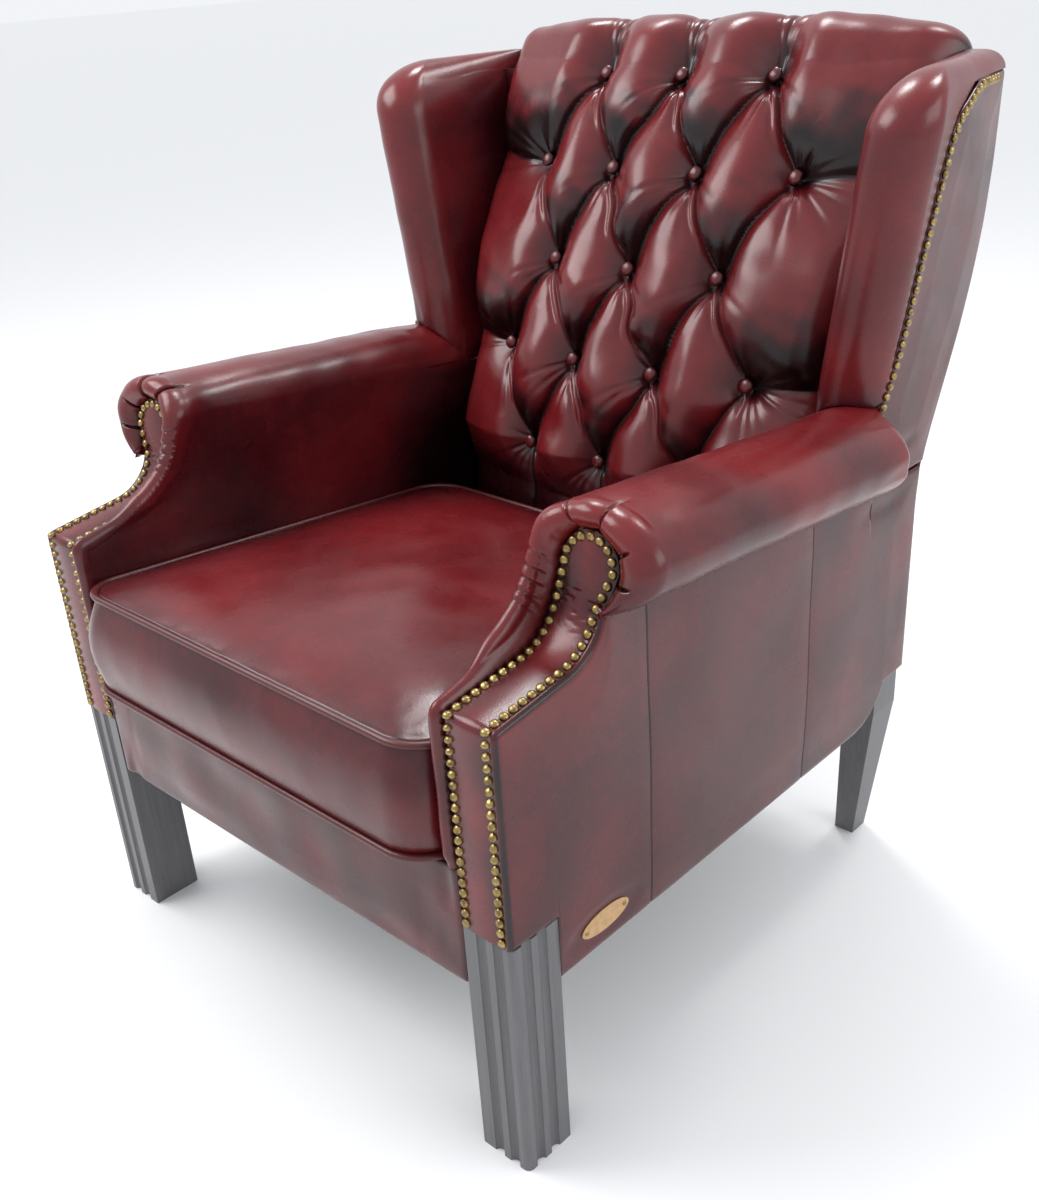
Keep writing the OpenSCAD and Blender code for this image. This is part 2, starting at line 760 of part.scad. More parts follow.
// Stations up the back: foot, rows of buttons and the roll over the top
foot_rows = 1.7;
foot_s = -row_pitch * foot_rows;
function over_top(s) = max(0, (s - s_top) / row_pitch);
function station(s) = s <= s_top ? [curve_y(s), curve_z(s), curve_a(s)]
    : let (a = top_a + (roll_end_a - top_a) * over_top(s)) [
        curve_y(s_top) + top_straight * sin(top_a) + top_roll_r * (cos(top_a) - cos(a)),
        curve_z(s_top) + top_straight * cos(top_a) + top_roll_r * (sin(a) - sin(top_a)), a];
stations = concat(
    [for (i = [0:5]) foot_s * (1 - i / 6)],
    [for (i = [0:(rows - 1) * cells]) i * row_pitch / cells],
    [for (i = [1:roll_n_top]) s_top + row_pitch * i / roll_n_top]
);
function clamp(v, lo, hi) = min(max(v, lo), hi);
// How full a pillow is from the fold below it, which it overhangs, to the fold above
low_power = 0.42;
high_power = 0.8;
full_at = low_power / (low_power + high_power);
function pillow(t) = pow(t, low_power) * pow(1 - t, high_power)
    / (pow(full_at, low_power) * pow(1 - full_at, high_power));
function part_of(v) = clamp(v - floor(v), 0, 1);
function fold(x, s) = let (
        cx = clamp(x / hx, -3, 3), cs = clamp(s, 0, s_top) / row_pitch
    ) pillow(part_of((cx + cs) / 2)) * pillow(1 - part_of((cx - cs) / 2));
// Buttons: three and four to a row by turns
function row_xs(k) = k % 2 == 0 ? [-2 * hx, 0, 2 * hx] : [-3 * hx, -hx, hx, 3 * hx];
button_list = [for (k = [0:rows - 1]) for (x = row_xs(k)) [x, k * row_pitch]];
// Reach of a button's pit between two buttons, and how far a rounding closes
pit_share = 0.45;
round_share = 0.98;
function dimple(x, s) = max([for (b = button_list)
    exp(-(pow(x - b[0], 2) + pow(s - b[1], 2)) / pow(hx * pit_share, 2))]);
function side_fade(x, w) =
    let (e = clamp((abs(x) - w + back_edge_r) / back_edge_r, 0, 1)) sqrt(1 - e * e * round_share);
// What is left of the bulge at the foot, share of it that the folds take, and how
// far the wrap has gone at the outer buttons
foot_share = 0.15;
fold_share = 0.45;
wrap_share = 0.66;
// Share of the folds that is left on the roll over the top, and how soon they fade
fold_left_share = 0.3;
fold_run = 0.5;
function fold_part(s) = fold_share * (1 - (1 - fold_left_share) * min(1, over_top(s) / fold_run));
function foot_fade(s) = s >= 0 ? 1 : max(foot_share, 1 + s / (row_pitch / 2) * (1 - foot_share));
function puff(x, s, w) = bulge * foot_fade(s) * side_fade(x, w) * sqrt(1 - pow(over_top(s), 3) * round_share)
    * (fold_part(s) * fold(x, s) + (1 - fold_part(s)) * (1 - dimple(x, s)));
function wrap(x) = back_wrap * pow(x / (3 * hx) * wrap_share, 2);
function back_half(z) = wing_in_rear(z) - back_gap;
// Columns across the back: four to a fold, and a few more out to the side
edge_shares = [0.2, 0.4, 0.58, 0.76, 0.9, 1];
function column(k, w) = abs(k) <= 3 * cells ? k * hx / cells
    : sign(k) * (3 * hx + (w - 3 * hx) * edge_shares[abs(k) - 3 * cells - 1]);
cols = 3 * cells + len(edge_shares);
function pad_pt(k, s) = let (
        st = station(s), w = back_half(st[1]), x = column(k, w), h = puff(x, s, w),
        fall = back_edge_fall * (1 - side_fade(x, w))
    ) [x, st[0] + wrap(x) * (1 - over_top(s)) + (fall - h) * cos(st[2]), st[1] + h * sin(st[2])];
function pad_rear(s) = let (z = min(station(s)[1], frame_h))
    s <= s_top ? [upright_y(z) - web_t - back_gap, z]
    : [rear_y(frame_h) - (upright_d + cover_t + web_t) * (1 - over_top(s)) / (1 - 1 / roll_n_top), frame_h];
function pad_ring(s) = let (w = back_half(station(s)[1]), r = pad_rear(s)) concat(
    [for (k = [cols:-1:-cols]) pad_pt(k, s)], [[-w, r[0], r[1]], [w, r[0], r[1]]]
);
// Sets a piece on the back at a button, its axis square to the leather
module at_buttons() {
    for (b = button_list) let (st = station(b[1]))
        translate([b[0], st[0] + wrap(b[0]), st[1]]) rotate([90 - st[2], 0, 0]) children();
}

module back_pad() {
    deep = [for (s = stations) let (w = back_half(station(s)[1]))
        concat([for (k = [cols:-1:-cols]) -puff(column(k, w), s, w)], [0, 0])];
    color("#6d2026") place() skin([for (s = stations) pad_ring(s)], deep);
}

// Covered buttons: a domed face on a tapered underside that reaches into its pit
module back_buttons() {
    dome_r = (pow(button_d / 2, 2) + pow(button_h, 2)) / (2 * button_h);
    color("#4a141a") place() at_buttons() {
        cylinder(d1 = tack_d, d2 = button_d, h = button_seat, $fn = 32);
        translate([0, 0, button_seat]) intersection() {
            translate([0, 0, button_h - dome_r]) sphere(r = dome_r, $fn = 32);
            cylinder(d = button_d, h = button_h, $fn = 32);
        }
    }
}

// Nails

// Height of a head's shoulder as a share of its height, and the widths there and at
// the top as shares of its diameter
shoulder_share = 0.4;
shoulder_wide_share = 0.86;
top_wide_share = 0.3;
module nail() {
    low = nail_h * shoulder_share;
    mid_d = nail_d * shoulder_wide_share;
    color("#a58a4e") {
        cylinder(d1 = nail_d, d2 = mid_d, h = low, $fn = 20);
        translate([0, 0, low])
            cylinder(d1 = mid_d, d2 = nail_d * top_wide_share, h = nail_h - low, $fn = 20);
    }
}

// How far a nail's flat underside stands off, so that its rim clears the hollow sweep
nail_gap = nail_d * nail_d / 4 / sweep_r;
// Turns a nail so that it stands on a surface with the normal n
module on_normal(n) {
    rotate([0, acos(n[2] / norm(n)), atan2(n[1], n[0])]) translate([0, 0, nail_gap]) children();
}

// The side path of the facing as points with the length run so far
face_path = concat([[0, leg_show + nail_edge]], arm_front_pts(0), [[lean_y(0, head_z), head_z]]);
function runs(path) = [for (i = 0, t = 0; i < len(path);
    t = t + (i + 1 < len(path) ? norm(path[i + 1] - path[i]) : 0), i = i + 1) t];
function at(path, run, t, k) = lookup(t, [for (i = [0:len(path) - 1]) [run[i], path[i][k]]]);
face_runs = runs(face_path);
face_len = face_runs[len(face_runs) - 1];
face_count = floor(face_len / nail_pitch);
function face_at(t) = [at(face_path, face_runs, t, 0), at(face_path, face_runs, t, 1)];
ring_r = head_r - nail_edge + soft_gap;
function row_x(s, z) = s < 0 ? lookup(z, [[neck_z, face_x + nail_edge], [head_z, head_x - ring_r]])
    : lookup(z, [[neck_z, half - nail_edge - nail_inward], [head_z, head_x + ring_r]]);

module facing_nails() {
    step = face_len / face_count;
    for (s = [-1, 1]) for (i = [0:face_count]) let (
            p = face_at(i * step), e = nail_d / 4, d = face_at(i * step + e) - face_at(i * step - e)
        ) translate([row_x(s, p[1]), p[0], p[1]]) on_normal([0, -d[1], d[0]]) nail();
    ring_n = round(PI * ring_r / nail_pitch);
    for (i = [1:ring_n - 1]) let (a = 180 * i / ring_n, z = head_z + ring_r * sin(a))
        translate([head_x + ring_r * cos(a), lean_y(0, z), z])
            on_normal([0, -cos(scroll_lean), sin(scroll_lean)]) nail();
}

// The nails of the outside wing run along its front edge and under its crest
set_share = 0.62;
wing_set = set_share * nail_d;
// Heights up the front edge; heights round the corner, each with the shares of the
// distance that the nail stands back and down; and the reach of the top row
edge_row_shares = [0.65, 0.71, 0.83, 0.9, 0.95];
corner_row_shares = [[0.973, 0.64, 0.77], [0.99, 0.32, 0.95], [1, 0.1, 1]];
top_row_share = 1.32;
wing_path = concat(
    [for (z = concat(
        [seam_z + wing_set], [for (p = edge_row_shares) if (p * frame_h > seam_z + nail_d) p * frame_h]
    )) [nail_y(z) + wing_set, z]],
    [for (p = corner_row_shares)
        [nail_y(p[0] * frame_h) + p[1] * wing_set, p[0] * frame_h - p[2] * wing_set]],
    [[arm_end_y + nail_reach * top_row_share, frame_h - wing_set]]
);
wing_runs = runs(wing_path);
wing_len = wing_runs[len(wing_runs) - 1];
wing_count = floor(wing_len / nail_pitch);
function wing_at(t) =
    let (y = at(wing_path, wing_runs, t, 0), z = at(wing_path, wing_runs, t, 1)) [wing_x(z, y), y, z];

module wing_nails() {
    step = wing_len / wing_count;
    for (i = [0:wing_count]) let (
            p = wing_at(i * step), e = nail_d / 2,
            up = [wing_x(p[2] + e, p[1]) - p[0], 0, e], back = [wing_x(p[2], p[1] + e) - p[0], e, 0]
        ) translate(p) on_normal(cross(back, up)) nail();
}

// Trim

plate_n = 48;
module oval_plate() {
    color("#b58a5a") translate([half, plate_y, plate_z]) rotate([90, 0, 90]) linear_extrude(plate_t)
        polygon([for (i = [1:plate_n]) let (a = i * 360 / plate_n)
            [plate_w / 2 * cos(a), plate_h / 2 * sin(a)]]);
}

module plate_screws() {
    color("#a58a4e") for (s = [-1, 1])
        translate([half + plate_t, plate_y + s * (plate_w / 2 - plate_screw_in), plate_z]) rotate([0, 90, 0])
            cylinder(d1 = plate_screw_d, d2 = plate_screw_d * 0.6, h = plate_screw_h, $fn = 24);
}

// Seat cushion

cushion_half = inner - 4 * soft_gap;
corner_r = 50;
corner_n = 8;
side_n = 5;
// The four corners in turn, each with its arc and the side that follows; the
// corners shrink with the outline as it is drawn in
function cushion_turn(inset, z) = let (
        w = cushion_half - inset, d = cushion_d / 2 - inset, r = min(w, d) * corner_r / cushion_half,
        mid = cushion_d / 2 - cushion_front
    ) [for (q = [0:3]) let (sx = [1, 1, -1, -1][q], sy = [1, -1, -1, 1][q], a0 = 90 - 90 * q,
            c = [sx * (w - r), sy * (d - r)],
            next = q % 2 == 0 ? [sx * w, -sy * (d - r)] : [-sx * (w - r), sy * d],
            last = c + r * [cos(a0 - 90), sin(a0 - 90)])
        each concat(
            [for (i = [0:corner_n]) let (a = a0 - 90 * i / corner_n)
                [c[0] + r * cos(a), mid + c[1] + r * sin(a), z]],
            [for (i = [1:side_n]) let (p = last + (next - last) * i / (side_n + 1)) [p[0], mid + p[1], z]]
        )];
cushion_n = 4 * (corner_n + 1 + side_n);
// The same outline begun in the middle of a corner
function cushion_outline(inset, z) = let (o = cushion_turn(inset, z))
    [for (i = [0:cushion_n - 1]) o[(i + corner_n / 2) % cushion_n]];
piping_r = piping_d / 2;
groove = piping_r;
side_in = 2;
low_z = 2 * soft_gap + groove;
high_z = low_z + cushion_h;
crown_shares = [[0.03, 0.16], [0.1, 0.4], [0.22, 0.66], [0.4, 0.86], [0.65, 0.97], [0.88, 1]];

module cushion_cover() {
    color("#7a2228") place() on_seat() skin(concat(
        [cushion_outline(cushion_half * 0.3, soft_gap), cushion_outline(2 * piping_d, soft_gap),
        cushion_outline(side_in, low_z - groove), cushion_outline(piping_d, low_z - groove),
        cushion_outline(piping_d, low_z + groove), cushion_outline(side_in, low_z + groove),
        cushion_outline(0, (low_z + high_z) / 2),
        cushion_outline(side_in, high_z - groove), cushion_outline(piping_d, high_z - groove),
        cushion_outline(piping_d, high_z + groove), cushion_outline(side_in, high_z + groove)],
        [for (p = crown_shares)
            cushion_outline(
                p[0] * cushion_half + side_in, high_z + groove + p[1] * (cushion_crown - groove)
            )]
    ));
}

module piping(z) {
    sides = 6;
    ring = [for (i = [0:sides - 1]) [piping_r * cos(i * 360 / sides), piping_r * sin(i * 360 / sides)]];
    n = cushion_n;
    path = [for (k = [0:n - 1]) [for (p = ring) let (o = cushion_outline(piping_r - p[0], z + p[1])) o[k]]];
    pts = [for (r = path) for (p = r) p];
    faces = [for (k = [0:n - 1]) for (i = [0:sides - 1]) let (
            a = k * sides + i, b = k * sides + (i + 1) % sides,
            c = ((k + 1) % n) * sides + (i + 1) % sides, d = ((k + 1) % n) * sides + i
        ) each [[a, c, b], [a, d, c]]];
    color("#8a3a38") place() on_seat() polyhedron(points = pts, faces = faces, convexity = 8);
}

side(1) front_leg();  // front_leg_left
side(-1) front_leg();  // front_leg_right
side(1) rear_leg();  // rear_leg_left
side(-1) rear_leg();  // rear_leg_right
place() front_rail();
place() rear_rail();
side(1) side_rail();  // side_rail_left
side(-1) side_rail();  // side_rail_right
corner_blocks();
corner_block_screws();
side(1) arm_post();  // arm_post_left
side(-1) arm_post();  // arm_post_right
side(1) scroll_board();  // scroll_board_left
side(-1) scroll_board();  // scroll_board_right
side(1) arm_rail();  // arm_rail_left
side(-1) arm_rail();  // arm_rail_right
side(1) arm_lining();  // arm_lining_left
side(-1) arm_lining();  // arm_lining_right
side(1) back_upright();  // back_upright_left
side(-1) back_upright();  // back_upright_right
top_rail();
lower_back_rail();
side(1) wing_board();  // wing_board_left
side(-1) wing_board();  // wing_board_right
seat_webbing();
back_webbing();
seat_deck();
back_pad();
back_buttons();
outside_back();
side(1) wing_pad();  // wing_pad_left
side(-1) wing_pad();  // wing_pad_right
side(1) outside_wing();  // outside_wing_left
side(-1) outside_wing();  // outside_wing_right
side(1) arm_pad();  // arm_pad_left
side(-1) arm_pad();  // arm_pad_right
side(1) outside_arm();  // outside_arm_left
side(-1) outside_arm();  // outside_arm_right
side(1) facing();  // facing_left
side(-1) facing();  // facing_right
side(1) facing_nails();  // facing_nails_left
side(-1) facing_nails();  // facing_nails_right
side(1) wing_nails();  // wing_nails_left
side(-1) wing_nails();  // wing_nails_right
front_border();
dust_cover();
side(1) oval_plate();
side(1) plate_screws();
cushion_cover();
piping(high_z);  // cushion_piping_top
piping(low_z);  // cushion_piping_bottom
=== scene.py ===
"""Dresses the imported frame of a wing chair: buttoned leather, nails, wood and light.

Every shape is a grid of points worked out with numpy in metres. The formulas
count depth from the face of the front legs; placed() moves it to the frame.
"""
import math

import bpy
import numpy as np
from bpy.props import FloatProperty, FloatVectorProperty, PointerProperty
from mathutils import Matrix, Vector


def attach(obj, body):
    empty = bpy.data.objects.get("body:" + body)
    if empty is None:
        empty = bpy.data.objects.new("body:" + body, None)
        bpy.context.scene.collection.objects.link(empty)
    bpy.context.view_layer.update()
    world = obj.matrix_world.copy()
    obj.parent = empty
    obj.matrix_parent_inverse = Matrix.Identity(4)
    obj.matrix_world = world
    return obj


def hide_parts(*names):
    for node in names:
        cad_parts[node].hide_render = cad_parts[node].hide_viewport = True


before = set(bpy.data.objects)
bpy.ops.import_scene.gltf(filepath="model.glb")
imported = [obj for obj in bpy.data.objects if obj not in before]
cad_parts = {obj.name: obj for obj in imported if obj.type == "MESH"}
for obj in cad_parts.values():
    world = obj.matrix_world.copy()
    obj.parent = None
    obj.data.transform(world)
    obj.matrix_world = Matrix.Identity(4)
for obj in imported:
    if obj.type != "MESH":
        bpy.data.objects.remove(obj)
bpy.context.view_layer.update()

bl_info = {
    "name": "Buttoned wing chair",
    "version": (1, 0, 0),
    "blender": (4, 5, 0),
    "location": "View3D > Sidebar > Wing chair",
    "description": "Builds the leather, nails, finishes and studio of a wing chair on its packed frame",
    "category": "Object",
}

BODY, CUSHION = "chair_frame", "seat_cushion"
SIDES = (("left", 1), ("right", -1))

# the frame: half widths, heights from the floor, depths from the face of the front legs
FRONT_REACH, REAR_REACH = 0.034, 0.900
SHIFT_Y = (FRONT_REACH - REAR_REACH) / 2
HALF, INNER, WOOD_X, FACE_X = 0.385, 0.302, 0.379, 0.3185
FRAME_H, BODY_D, BACK_LEAN = 1.0, 0.763, 0.129
COVER_T, UPRIGHT_X, UPRIGHT_D = 0.006, 0.334, 0.055
SEAT_Z, SEAT_PITCH = 0.370, math.radians(5.4)
RAIL_Z, LEG_TOP, LEG_SIZE, REAR_LEG_TOP = 0.223, 0.302, 0.0665, 0.274
REAR_LINE = ((.1, .52, .56, .6, .65, .71, .77, .83, .9, 1, 1.1),
             (0, 0, .05, .17, .36, .58, .75, .88, .96, 1, 1))
# the arm's front: the scroll's head and neck, the shoulder and the sweep between them
HEAD_X, HEAD_Z, HEAD_R, NECK_Z = 0.3605, 0.642, 0.036, 0.600
SHOULDER_Z, SHOULDER_TILT = 0.547, math.radians(7.4)
SHOULDER_RUN, SWEEP_R, SCROLL_LEAN = 0.100, 0.065, math.radians(11)
# the arm's roll and its outside panel, with the arch before the rear leg
ARM_AXIS_Z, SCROLL_Y, ARM_FALL = 0.654, 0.170, math.radians(5)
ROLL_RISE, CREST_X, ROLL_IN, ROLL_OUT = 0.052, 0.358, 0.056, 0.084
ARM_END_Y, SEAM_Z, ARCH_Y, ARCH_RUN, ARCH_RISE = 0.644, 0.560, 0.702, 0.060, 0.038
ARM_COLS, BAND_TURN = 230, 3.0
WEB = ((0, .037, .06, .085, .122, .159, .183, .22, .25, .285),
       (0, .004, .011, .021, .031, .029, .023, .013, .005, 0))
WEB_WAY = np.array([0, -0.58, 0.81])
# the wing and the line of its nails
WING_Y, WING_R, FLARE_Z, FLARE_OUT = 0.665, 0.042, 0.670, 0.048
WING_CREST, CREST_ROUND, WING_COLS = 0.022, 0.060, (90, 56, 26, 30)
NAIL_LINE = ((.56, .65, .71, .77, .83, .9, .95, .973, .99, 1),
             (0, 0, .14, .185, .22, .3, .36, .47, .68, 1))
NAIL_REACH, NAIL_EDGE, PLATE_Y, PLATE_Z = 0.159, 0.007, 0.138, 0.256
# the buttoned back: its lowest row of buttons, the pitches, and the roll over the top
BUTTON_Z, BUTTON_Y, ROW_LEAN = 0.530, 0.615, math.radians(10.5)
ROWS, ROW_PITCH, HALF_PITCH, BACK_R = 5, 0.12596, 0.0665, 1.220
BACK_LIMIT, BACK_WRAP, BACK_EDGE_R, BACK_EDGE_FALL = 0.3376, 0.054, 0.046, 0.022
TOP_STRAIGHT, TOP_ROLL_R, TOP_END = 0.015, 0.045, math.radians(150)
# the cushion, above the platform, and the straps under it
CUSHION_HALF, CUSHION_D, CORNER_R = 0.3008, 0.612, 0.050
CUSHION_LOW, CUSHION_HIGH, PIPING_R = 0.0046, 0.1286, 0.004
STRAP_WIDE, STRAP_GAP_X, STRAP_GAP_Y = 0.050, 0.11185, 0.13938
# the photograph's camera: its place, its angles, and its focal length and centre in pixels
EYE = np.array([1.08512348, -0.67194685, 1.15802356])
AZIMUTH, ELEVATION, ROLL = 0.77867365, 0.47364543, -0.06737881
FOCAL_PX, CENTRE_PX, PICTURE_PX, SENSOR = 1311.141, (517.216, 619.101), (1039, 1200), 36.0


class ChairSizes(bpy.types.PropertyGroup):
    """Sizes of the upholstery that may be changed without moving the frame."""

    bulge: FloatProperty(name="Bulge", default=0.044, unit="LENGTH",
                         description="Height of the leather between the buttons")
    tuck: FloatProperty(name="Tuck", default=0.0030, unit="LENGTH",
                        description="Height of the lip where a fold of the back laps over")
    gather: FloatProperty(name="Gather", default=0.0030, unit="LENGTH",
                          description="Depth of the gathers that radiate from a button")
    crown: FloatProperty(name="Crown", default=0.032, unit="LENGTH",
                         description="Rise of the seat cushion above its upper piping")
    scroll_round: FloatProperty(name="Scroll rounding", default=0.024, unit="LENGTH",
                                description="Radius of the rounded front of the arm roll")
    scroll_proud: FloatProperty(name="Scroll proud", default=0.010, unit="LENGTH",
                                description="How far the arm roll stands in front of its facing")
    pleat: FloatProperty(name="Pleat", default=0.0060, unit="LENGTH",
                         description="Depth of the pleats round the scroll")
    shell: FloatProperty(name="Shell", default=0.005, unit="LENGTH",
                         description="Thickness of the leather with its wadding")
    nail_pitch: FloatProperty(name="Nail pitch", default=0.0122, unit="LENGTH",
                              description="Distance between two nails")
    nail_width: FloatProperty(name="Nail width", default=0.0104, unit="LENGTH",
                              description="Diameter of a nail head")
    nail_rise: FloatProperty(name="Nail rise", default=0.0044, unit="LENGTH",
                             description="Height of a nail head")
    button_width: FloatProperty(name="Button width", default=0.019, unit="LENGTH",
                                description="Diameter of a covered button")


class ChairColours(bpy.types.PropertyGroup):
    """Colours of the finishes."""

    # painted highlight: this colour is used where the leather is made lighter as if lit, on the upper
    # parts of the pillows, the tops of the rolls, the wing crests and the cushion top
    crown: FloatVectorProperty(name="Leather crowns", subtype="COLOR", size=4,
                               default=(0.155, 0.0092, 0.0112, 1),
                               description="Colour of the leather where it is rubbed bright")
    ground: FloatVectorProperty(name="Leather ground", subtype="COLOR", size=4,
                                default=(0.052, 0.0042, 0.0066, 1),
                                description="Colour of most of the leather")
    # painted shade: this colour is used in the creases, folds, pits round the buttons and drawn-in edges
    shade: FloatVectorProperty(name="Leather creases", subtype="COLOR", size=4,
                               default=(0.007, 0.0014, 0.0018, 1),
                               description="Colour of the leather in its creases")
    piping: FloatVectorProperty(name="Piping", subtype="COLOR", size=4,
                                default=(0.080, 0.010, 0.011, 1),
                                description="Colour of the piping")
    wood: FloatVectorProperty(name="Stained wood", subtype="COLOR", size=4,
                              default=(0.095, 0.094, 0.100, 1),
                              description="Colour of the legs")
    brass: FloatVectorProperty(name="Antique brass", subtype="COLOR", size=4,
                               default=(0.40, 0.29, 0.12, 1),
                               description="Colour of the nails")
    plate: FloatVectorProperty(name="Plate", subtype="COLOR", size=4, default=(0.56, 0.35, 0.17, 1),
                               description="Colour of the oval plate")


def lookup(value, table, scale=1.0, soft=0.0):
    """The table read at value / scale, averaged over three places soft apart so that it has no
    kinks."""
    near = (value - soft) / scale, value / scale, (value + soft) / scale
    return sum(w * np.interp(v, *table) for w, v in zip((0.25, 0.5, 0.25), near))


def smooth(t):
    """0 below 0, 1 above 1 and an S curve between them."""
    t = np.clip(t, 0, 1)
    return t * t * (3 - 2 * t)


def bump(distance, width):
    """1 at no distance, falling as a bell curve of that width."""
    return np.exp(-(distance / width) ** 2)


def ripple(points, seed, size, waves=14):
    """Gentle waves about -1 to 1 high: a sum of cosines in random directions, about size long."""
    rng = np.random.default_rng(seed)
    ways = rng.normal(size=(waves, points.shape[-1]))
    ways *= (rng.uniform(0.6, 1.5, waves) / np.linalg.norm(ways, axis=1) * 2 * np.pi / size)[:, None]
    return np.cos(points @ ways.T + rng.uniform(0, 2 * np.pi, waves)).sum(-1) / math.sqrt(waves / 2)


def spread(*parts):
    """Points whose coordinates may be rows, columns or single numbers, brought to one shape."""
    return np.stack(np.broadcast_arrays(*parts), -1)


def least(*distances):
    """The least of several distances at each place."""
    return np.min(np.broadcast_arrays(*distances), axis=0)


def drawn(edge, radius, depth):
    """How deep a sheet is drawn down near its edge: a quarter circle of that radius, scaled to
    depth."""
    return depth * (1 - np.sqrt(1 - (1 - np.clip(edge / radius, 0, 1)) ** 2))


def swelled(edge, reach, high, power=0.7):
    """How far a sheet swells between its edges: a power curve from an edge to high, at reach from
    it."""
    return high * np.clip(edge / reach, 0, 1) ** power


def run_along(path):
    """Length of a polyline up to each of its points."""
    return np.concatenate([[0], np.cumsum(np.linalg.norm(np.diff(path, axis=0), axis=1))])


def walk(path, shares):
    """Points of a polyline at shares of its length."""
    run = run_along(path)
    at = np.asarray(shares) * run[-1]
    return np.stack([np.interp(at, run, path[:, k]) for k in range(path.shape[1])], -1)


def rear_y(z):
    """Depth of the outside back at a height."""
    return BODY_D + BACK_LEAN * lookup(z, REAR_LINE, FRAME_H, 0.018)


def upright_y(z):
    """Depth of the front of the back frame at a height."""
    return rear_y(z) - COVER_T - UPRIGHT_D


def seat_line(y):
    """Height of the seat platform at a depth."""
    return SEAT_Z - y * math.tan(SEAT_PITCH)


def axis_z(y):
    """Height of the axis of the arm roll at a depth."""
    return ARM_AXIS_Z - (y - SCROLL_Y) * math.tan(ARM_FALL)


def flare(z):
    """How far the wing leans outwards at a height: a straight slope with a parabola before it."""
    ease = 0.05
    rise = np.asarray(z) - FLARE_Z
    eased = np.where(rise > ease, rise, np.clip(rise + ease, 0, 2 * ease) ** 2 / (4 * ease))
    return FLARE_OUT * eased / (FRAME_H - FLARE_Z)


def nail_y(z):
    """Depth of the front edge of the outside wing at a height."""
    return ARM_END_Y + NAIL_REACH * lookup(z, NAIL_LINE, FRAME_H, 0.012)


def wing_x(z, y):
    """Width of the outer face of the wing, flared at the front and straight at the rear."""
    return HALF + flare(z) * (rear_y(z) - y) / (rear_y(z) - WING_Y)


SWEEP_C = np.array([SHOULDER_RUN, SHOULDER_Z + SHOULDER_RUN * math.tan(SHOULDER_TILT)]) \
    + SWEEP_R * np.array([-math.sin(SHOULDER_TILT), math.cos(SHOULDER_TILT)])
SCROLL_WAY = np.array([-math.cos(SCROLL_LEAN), math.sin(SCROLL_LEAN)])


def sweep_pt(angle):
    """Depth and height of the sweep at an angle."""
    return np.stack([SWEEP_C[0] + SWEEP_R * np.sin(angle), SWEEP_C[1] - SWEEP_R * np.cos(angle)], -1)


def lean_y(z):
    """Depth of the leaning face of the scroll at a height."""
    end = sweep_pt(np.array(math.pi / 2 - SCROLL_LEAN))
    return end[0] + (z - end[1]) * math.tan(SCROLL_LEAN)


def arm_front(low, high, n, round_r=0.008):
    """The front of the arm from the side, at n even steps: up from the height low, a rounded
    corner, the shoulder, the sweep, and the leaning line up to the height high. Gives points and
    their forward normals."""
    corner = np.array([0, SHOULDER_Z])
    up, along = np.array([0, 1.0]), np.array([math.cos(SHOULDER_TILT), math.sin(SHOULDER_TILT)])
    turn = np.linspace(0, 1, 12)[:, None]
    bend = (corner - up * round_r) * (1 - turn) ** 2 + corner * 2 * turn * (1 - turn) \
        + (corner + along * round_r) * turn ** 2
    sweep = sweep_pt(np.linspace(SHOULDER_TILT, math.pi / 2 - SCROLL_LEAN, 40))
    path = np.concatenate([[[0, low]], bend, sweep, [[lean_y(high), high]]])
    points = walk(path, np.linspace(0, 1, n))
    tangent = np.gradient(points, axis=0)
    tangent /= np.linalg.norm(tangent, axis=1, keepdims=True)
    return points, np.stack([-tangent[:, 1], tangent[:, 0]], -1)


def normals(grid):
    """Unit normals of a grid of points: the cross product of its differences along the columns and
    the rows."""
    normal = np.cross(np.gradient(grid, axis=1), np.gradient(grid, axis=0))
    return normal / np.maximum(np.linalg.norm(normal, axis=2, keepdims=True), 1e-12)


def quads(rows, cols, wrap=False, start=0):
    """Faces between the points of a grid of rows and columns; wrap joins the last column to the
    first."""
    i = np.arange(rows - 1)[:, None] * cols
    j = np.arange(cols if wrap else cols - 1)[None, :]
    k = (j + 1) % cols
    return np.stack([i + j, i + k, i + cols + k, i + cols + j], -1).reshape(-1, 4) + start


def joined(parts):
    """Several meshes, each points, faces and values of painted light and tone, as one."""
    faces, start = [], 0
    for points, own, _ in parts:
        faces += [[v + start for v in face] for face in own]
        start += len(points)
    painted_light_and_tones = [np.broadcast_to(painted_light_and_tone, len(points)) for points, _, painted_light_and_tone in parts]
    return np.concatenate([points for points, _, _ in parts]), faces, np.concatenate(painted_light_and_tones)


def outward(points, faces):
    """The faces turned so that a closed mesh holds a positive volume."""
    fan = np.array([[f[0], f[k], f[k + 1]] for f in faces for k in range(1, len(f) - 1)])
    a, b, c = points[fan[:, 0]], points[fan[:, 1]], points[fan[:, 2]]
    return faces if np.einsum("ij,ij->i", a, np.cross(b, c)).sum() > 0 else [f[::-1] for f in faces]


def shell(grid, thick, painted_light_and_tone):
    """A closed sheet: the grid, a copy of it set in by thick against its normals, and a strip round
    the edges. A negative thick sets the copy in the other way."""
    rows, cols = grid.shape[:2]
    n = rows * cols
    ids = np.arange(n).reshape(rows, cols)
    loop = np.concatenate([ids[0, :-1], ids[:-1, -1], ids[-1, :0:-1], ids[:0:-1, 0]])
    rim = np.stack([np.roll(loop, -1), loop], -1)
    faces = np.concatenate([quads(rows, cols), quads(rows, cols, start=n)[:, ::-1],
                            np.concatenate([rim, rim[:, ::-1] + n], 1)])
    points = np.concatenate([grid.reshape(-1, 3), (grid - normals(grid) * thick).reshape(-1, 3)])
    painted_light_and_tone = np.broadcast_to(painted_light_and_tone, (rows, cols)).ravel()
    return points, outward(points, faces.tolist()), np.concatenate([painted_light_and_tone, painted_light_and_tone])


